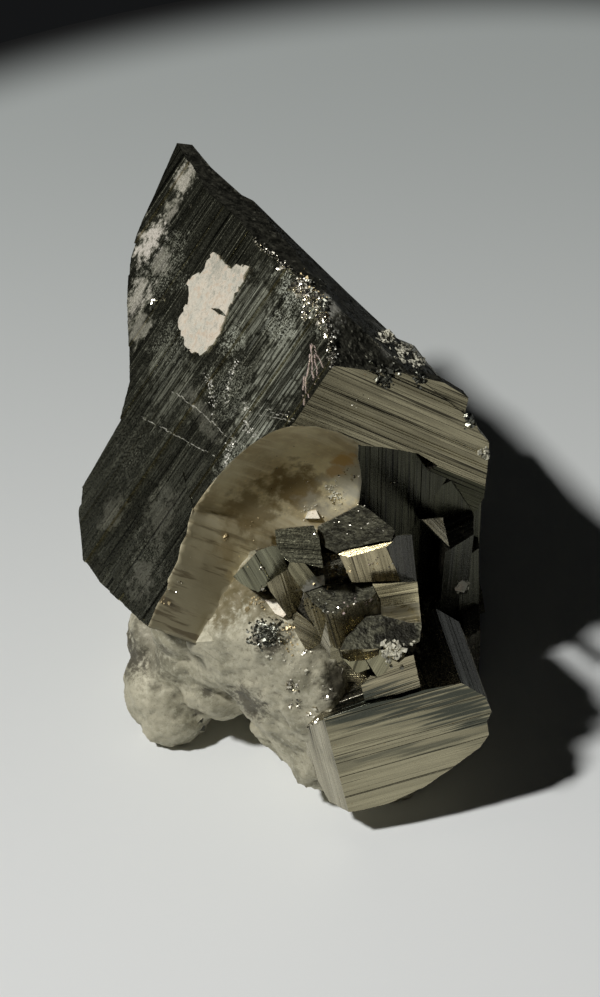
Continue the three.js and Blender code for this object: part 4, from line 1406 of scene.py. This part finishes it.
def small_details(front, random):
    """The chips, lines and rubble, piece by piece."""
    bright = Chips(front, random)
    bright.along(from_great(RIDGE), count=300, size=0.12, scatter=0.2, glinting=0.12, settle=False)
    bright.heaps(RIDGE_CLUSTERS, size=0.14, vary=0.45, share=0.14, spread=0.12)
    bright.heaps(RIDGE_LUMPS, size=0.34, vary=0.25, share=0.4, spread=0.2)
    for y, z in SPARKS:
        bright.along(on_left((y, z), (y + 0.2, z)), count=5, size=0.14, scatter=0.14, glinting=0.3)
    bright.strew(WHITE_SPECKS, glinting=0.75)
    bright.piece("bright_chips")
    lines = Chips(front, random)
    for way in GROWTH_LINES:
        lines.ridges(way, width=0.22, rise=0.08, keep=0.85)
    for way in SPECKLE_TRAILS:
        lines.along(on_left(*way), count=60, size=0.09, scatter=0.26, glinting=0.22)
    lines.along(on_left(*BRIGHT_EDGE), count=50, size=0.1, scatter=0.06, glinting=0.3)
    lines.piece("growth_lines")
    pink = Chips(front, random)
    for way in PINK_FAN:
        pink.ridges(way, width=0.14, rise=0.1, keep=0.92)
    pink.strew(PINK_SPECKS, glinting=0.5)
    pink.piece("pink_lines")
    for name, specks, glinting in (
        ("gold_chips", GOLD_SPECKS, 0.5),
        ("dark_grains", DARK_GRAINS, 0.07),
        ("pale_rubble", PALE_SPECKS, 0.3),
    ):
        chips = Chips(front, random)
        chips.strew(specks, glinting)
        chips.piece(name)


# ---- The studio ---------------------------------------------------------------------------------
FLOOR_AT = (0.0304, -0.0375)
FLOOR_RADIUS = 0.156
FLOOR_RIM = 0.014
FLOOR_SIDES = 128
FLOOR_NEAR, FLOOR_FAR = -0.06, 0.12
NEAR_COLOUR = (0.83, 0.84, 0.82)
# Painted shade: the colour of the far side and of the rim.
FAR_PAINTED_SHADE = (0.41, 0.435, 0.42)
RIM_PAINTED_SHADE = (0.01, 0.01, 0.01)
SKY_COLOUR = (0.9, 0.95, 1.0, 1)
SKY_STRENGTH = 0.008
TARGET = Vector(MIDDLE * MM)
DISTANCE = 0.350  # m, from the camera to the target
ELEVATION = math.radians(45)
FOCAL = 126.4
SENSOR = 36  # mm
NEAREST = 0.01  # m, the nearest thing that the camera sees
FLOOR_ROUGHNESS = 0.6
FLOOR_SHEEN = 0.2
KEY_SIZE = 0.10
KEY_POWER = 13.4
KEY_REACH = 1.2
KEY_HEIGHT = math.radians(55)
KEY_FORWARD = math.radians(24)


def add_floor():
    """A pale round table top, with painted shade that darkens it away from the viewer and fades it to black
    at its rim.
    """
    finish = Finish("floor", NEAR_COLOUR)
    where = finish.where()
    # Painted shade: darker away from the viewer.
    finish.lay(finish.part(where, "Y").ranged(FLOOR_NEAR, FLOOR_FAR), FAR_PAINTED_SHADE)
    away = finish.vector("DISTANCE", {0: where, 1: (*FLOOR_AT, 0)}, "Value")
    # Painted shade: black at the rim.
    finish.lay(away.ranged(FLOOR_RADIUS - FLOOR_RIM, FLOOR_RADIUS), RIM_PAINTED_SHADE)
    finish.put(finish.shader.inputs["Specular IOR Level"], FLOOR_SHEEN)
    mesh = bpy.data.meshes.new("floor")
    turns = [2 * math.pi * k / FLOOR_SIDES for k in range(FLOOR_SIDES)]
    x, y = FLOOR_AT
    ring = [(x + FLOOR_RADIUS * math.cos(t), y + FLOOR_RADIUS * math.sin(t), 0) for t in turns]
    mesh.from_pydata(ring, [], [list(range(FLOOR_SIDES))])
    mesh.materials.append(finish.done(0.0, FLOOR_ROUGHNESS))
    floor = bpy.data.objects.new("floor", mesh)
    bpy.context.scene.collection.objects.link(floor)


def studio():
    """The table top, the faint sky, the key light and the camera."""
    add_floor()
    scene = bpy.context.scene
    scene.world = bpy.data.worlds.new("studio")
    scene.world.use_nodes = True
    sky = scene.world.node_tree.nodes["Background"]
    sky.inputs["Color"].default_value = SKY_COLOUR
    sky.inputs["Strength"].default_value = SKY_STRENGTH

    key = bpy.data.lights.new("key", "AREA")
    key.shape = "DISK"
    key.size = KEY_SIZE
    key.energy = KEY_POWER
    key_object = bpy.data.objects.new("key", key)
    level = math.cos(KEY_HEIGHT)
    way = Vector((-level * math.cos(KEY_FORWARD), -level * math.sin(KEY_FORWARD), math.sin(KEY_HEIGHT)))
    key_object.location = TARGET + way * KEY_REACH
    key_object.rotation_euler = (-way).to_track_quat("-Z", "Y").to_euler()
    scene.collection.objects.link(key_object)

    camera = bpy.data.objects.new("camera", bpy.data.cameras.new("camera"))
    camera.location = TARGET + Vector((0, -math.cos(ELEVATION), math.sin(ELEVATION))) * DISTANCE
    camera.rotation_euler = (math.radians(90) - ELEVATION, 0, 0)
    camera.data.lens = FOCAL
    camera.data.sensor_width = SENSOR
    camera.data.clip_start = NEAREST
    scene.collection.objects.link(camera)
    scene.camera = camera
    scene.view_settings.view_transform = "Standard"


random = np.random.default_rng(SEED)
front = Front([crystals(random), crust()])
white_film(random)
plates(front)
small_details(front, random)
studio()
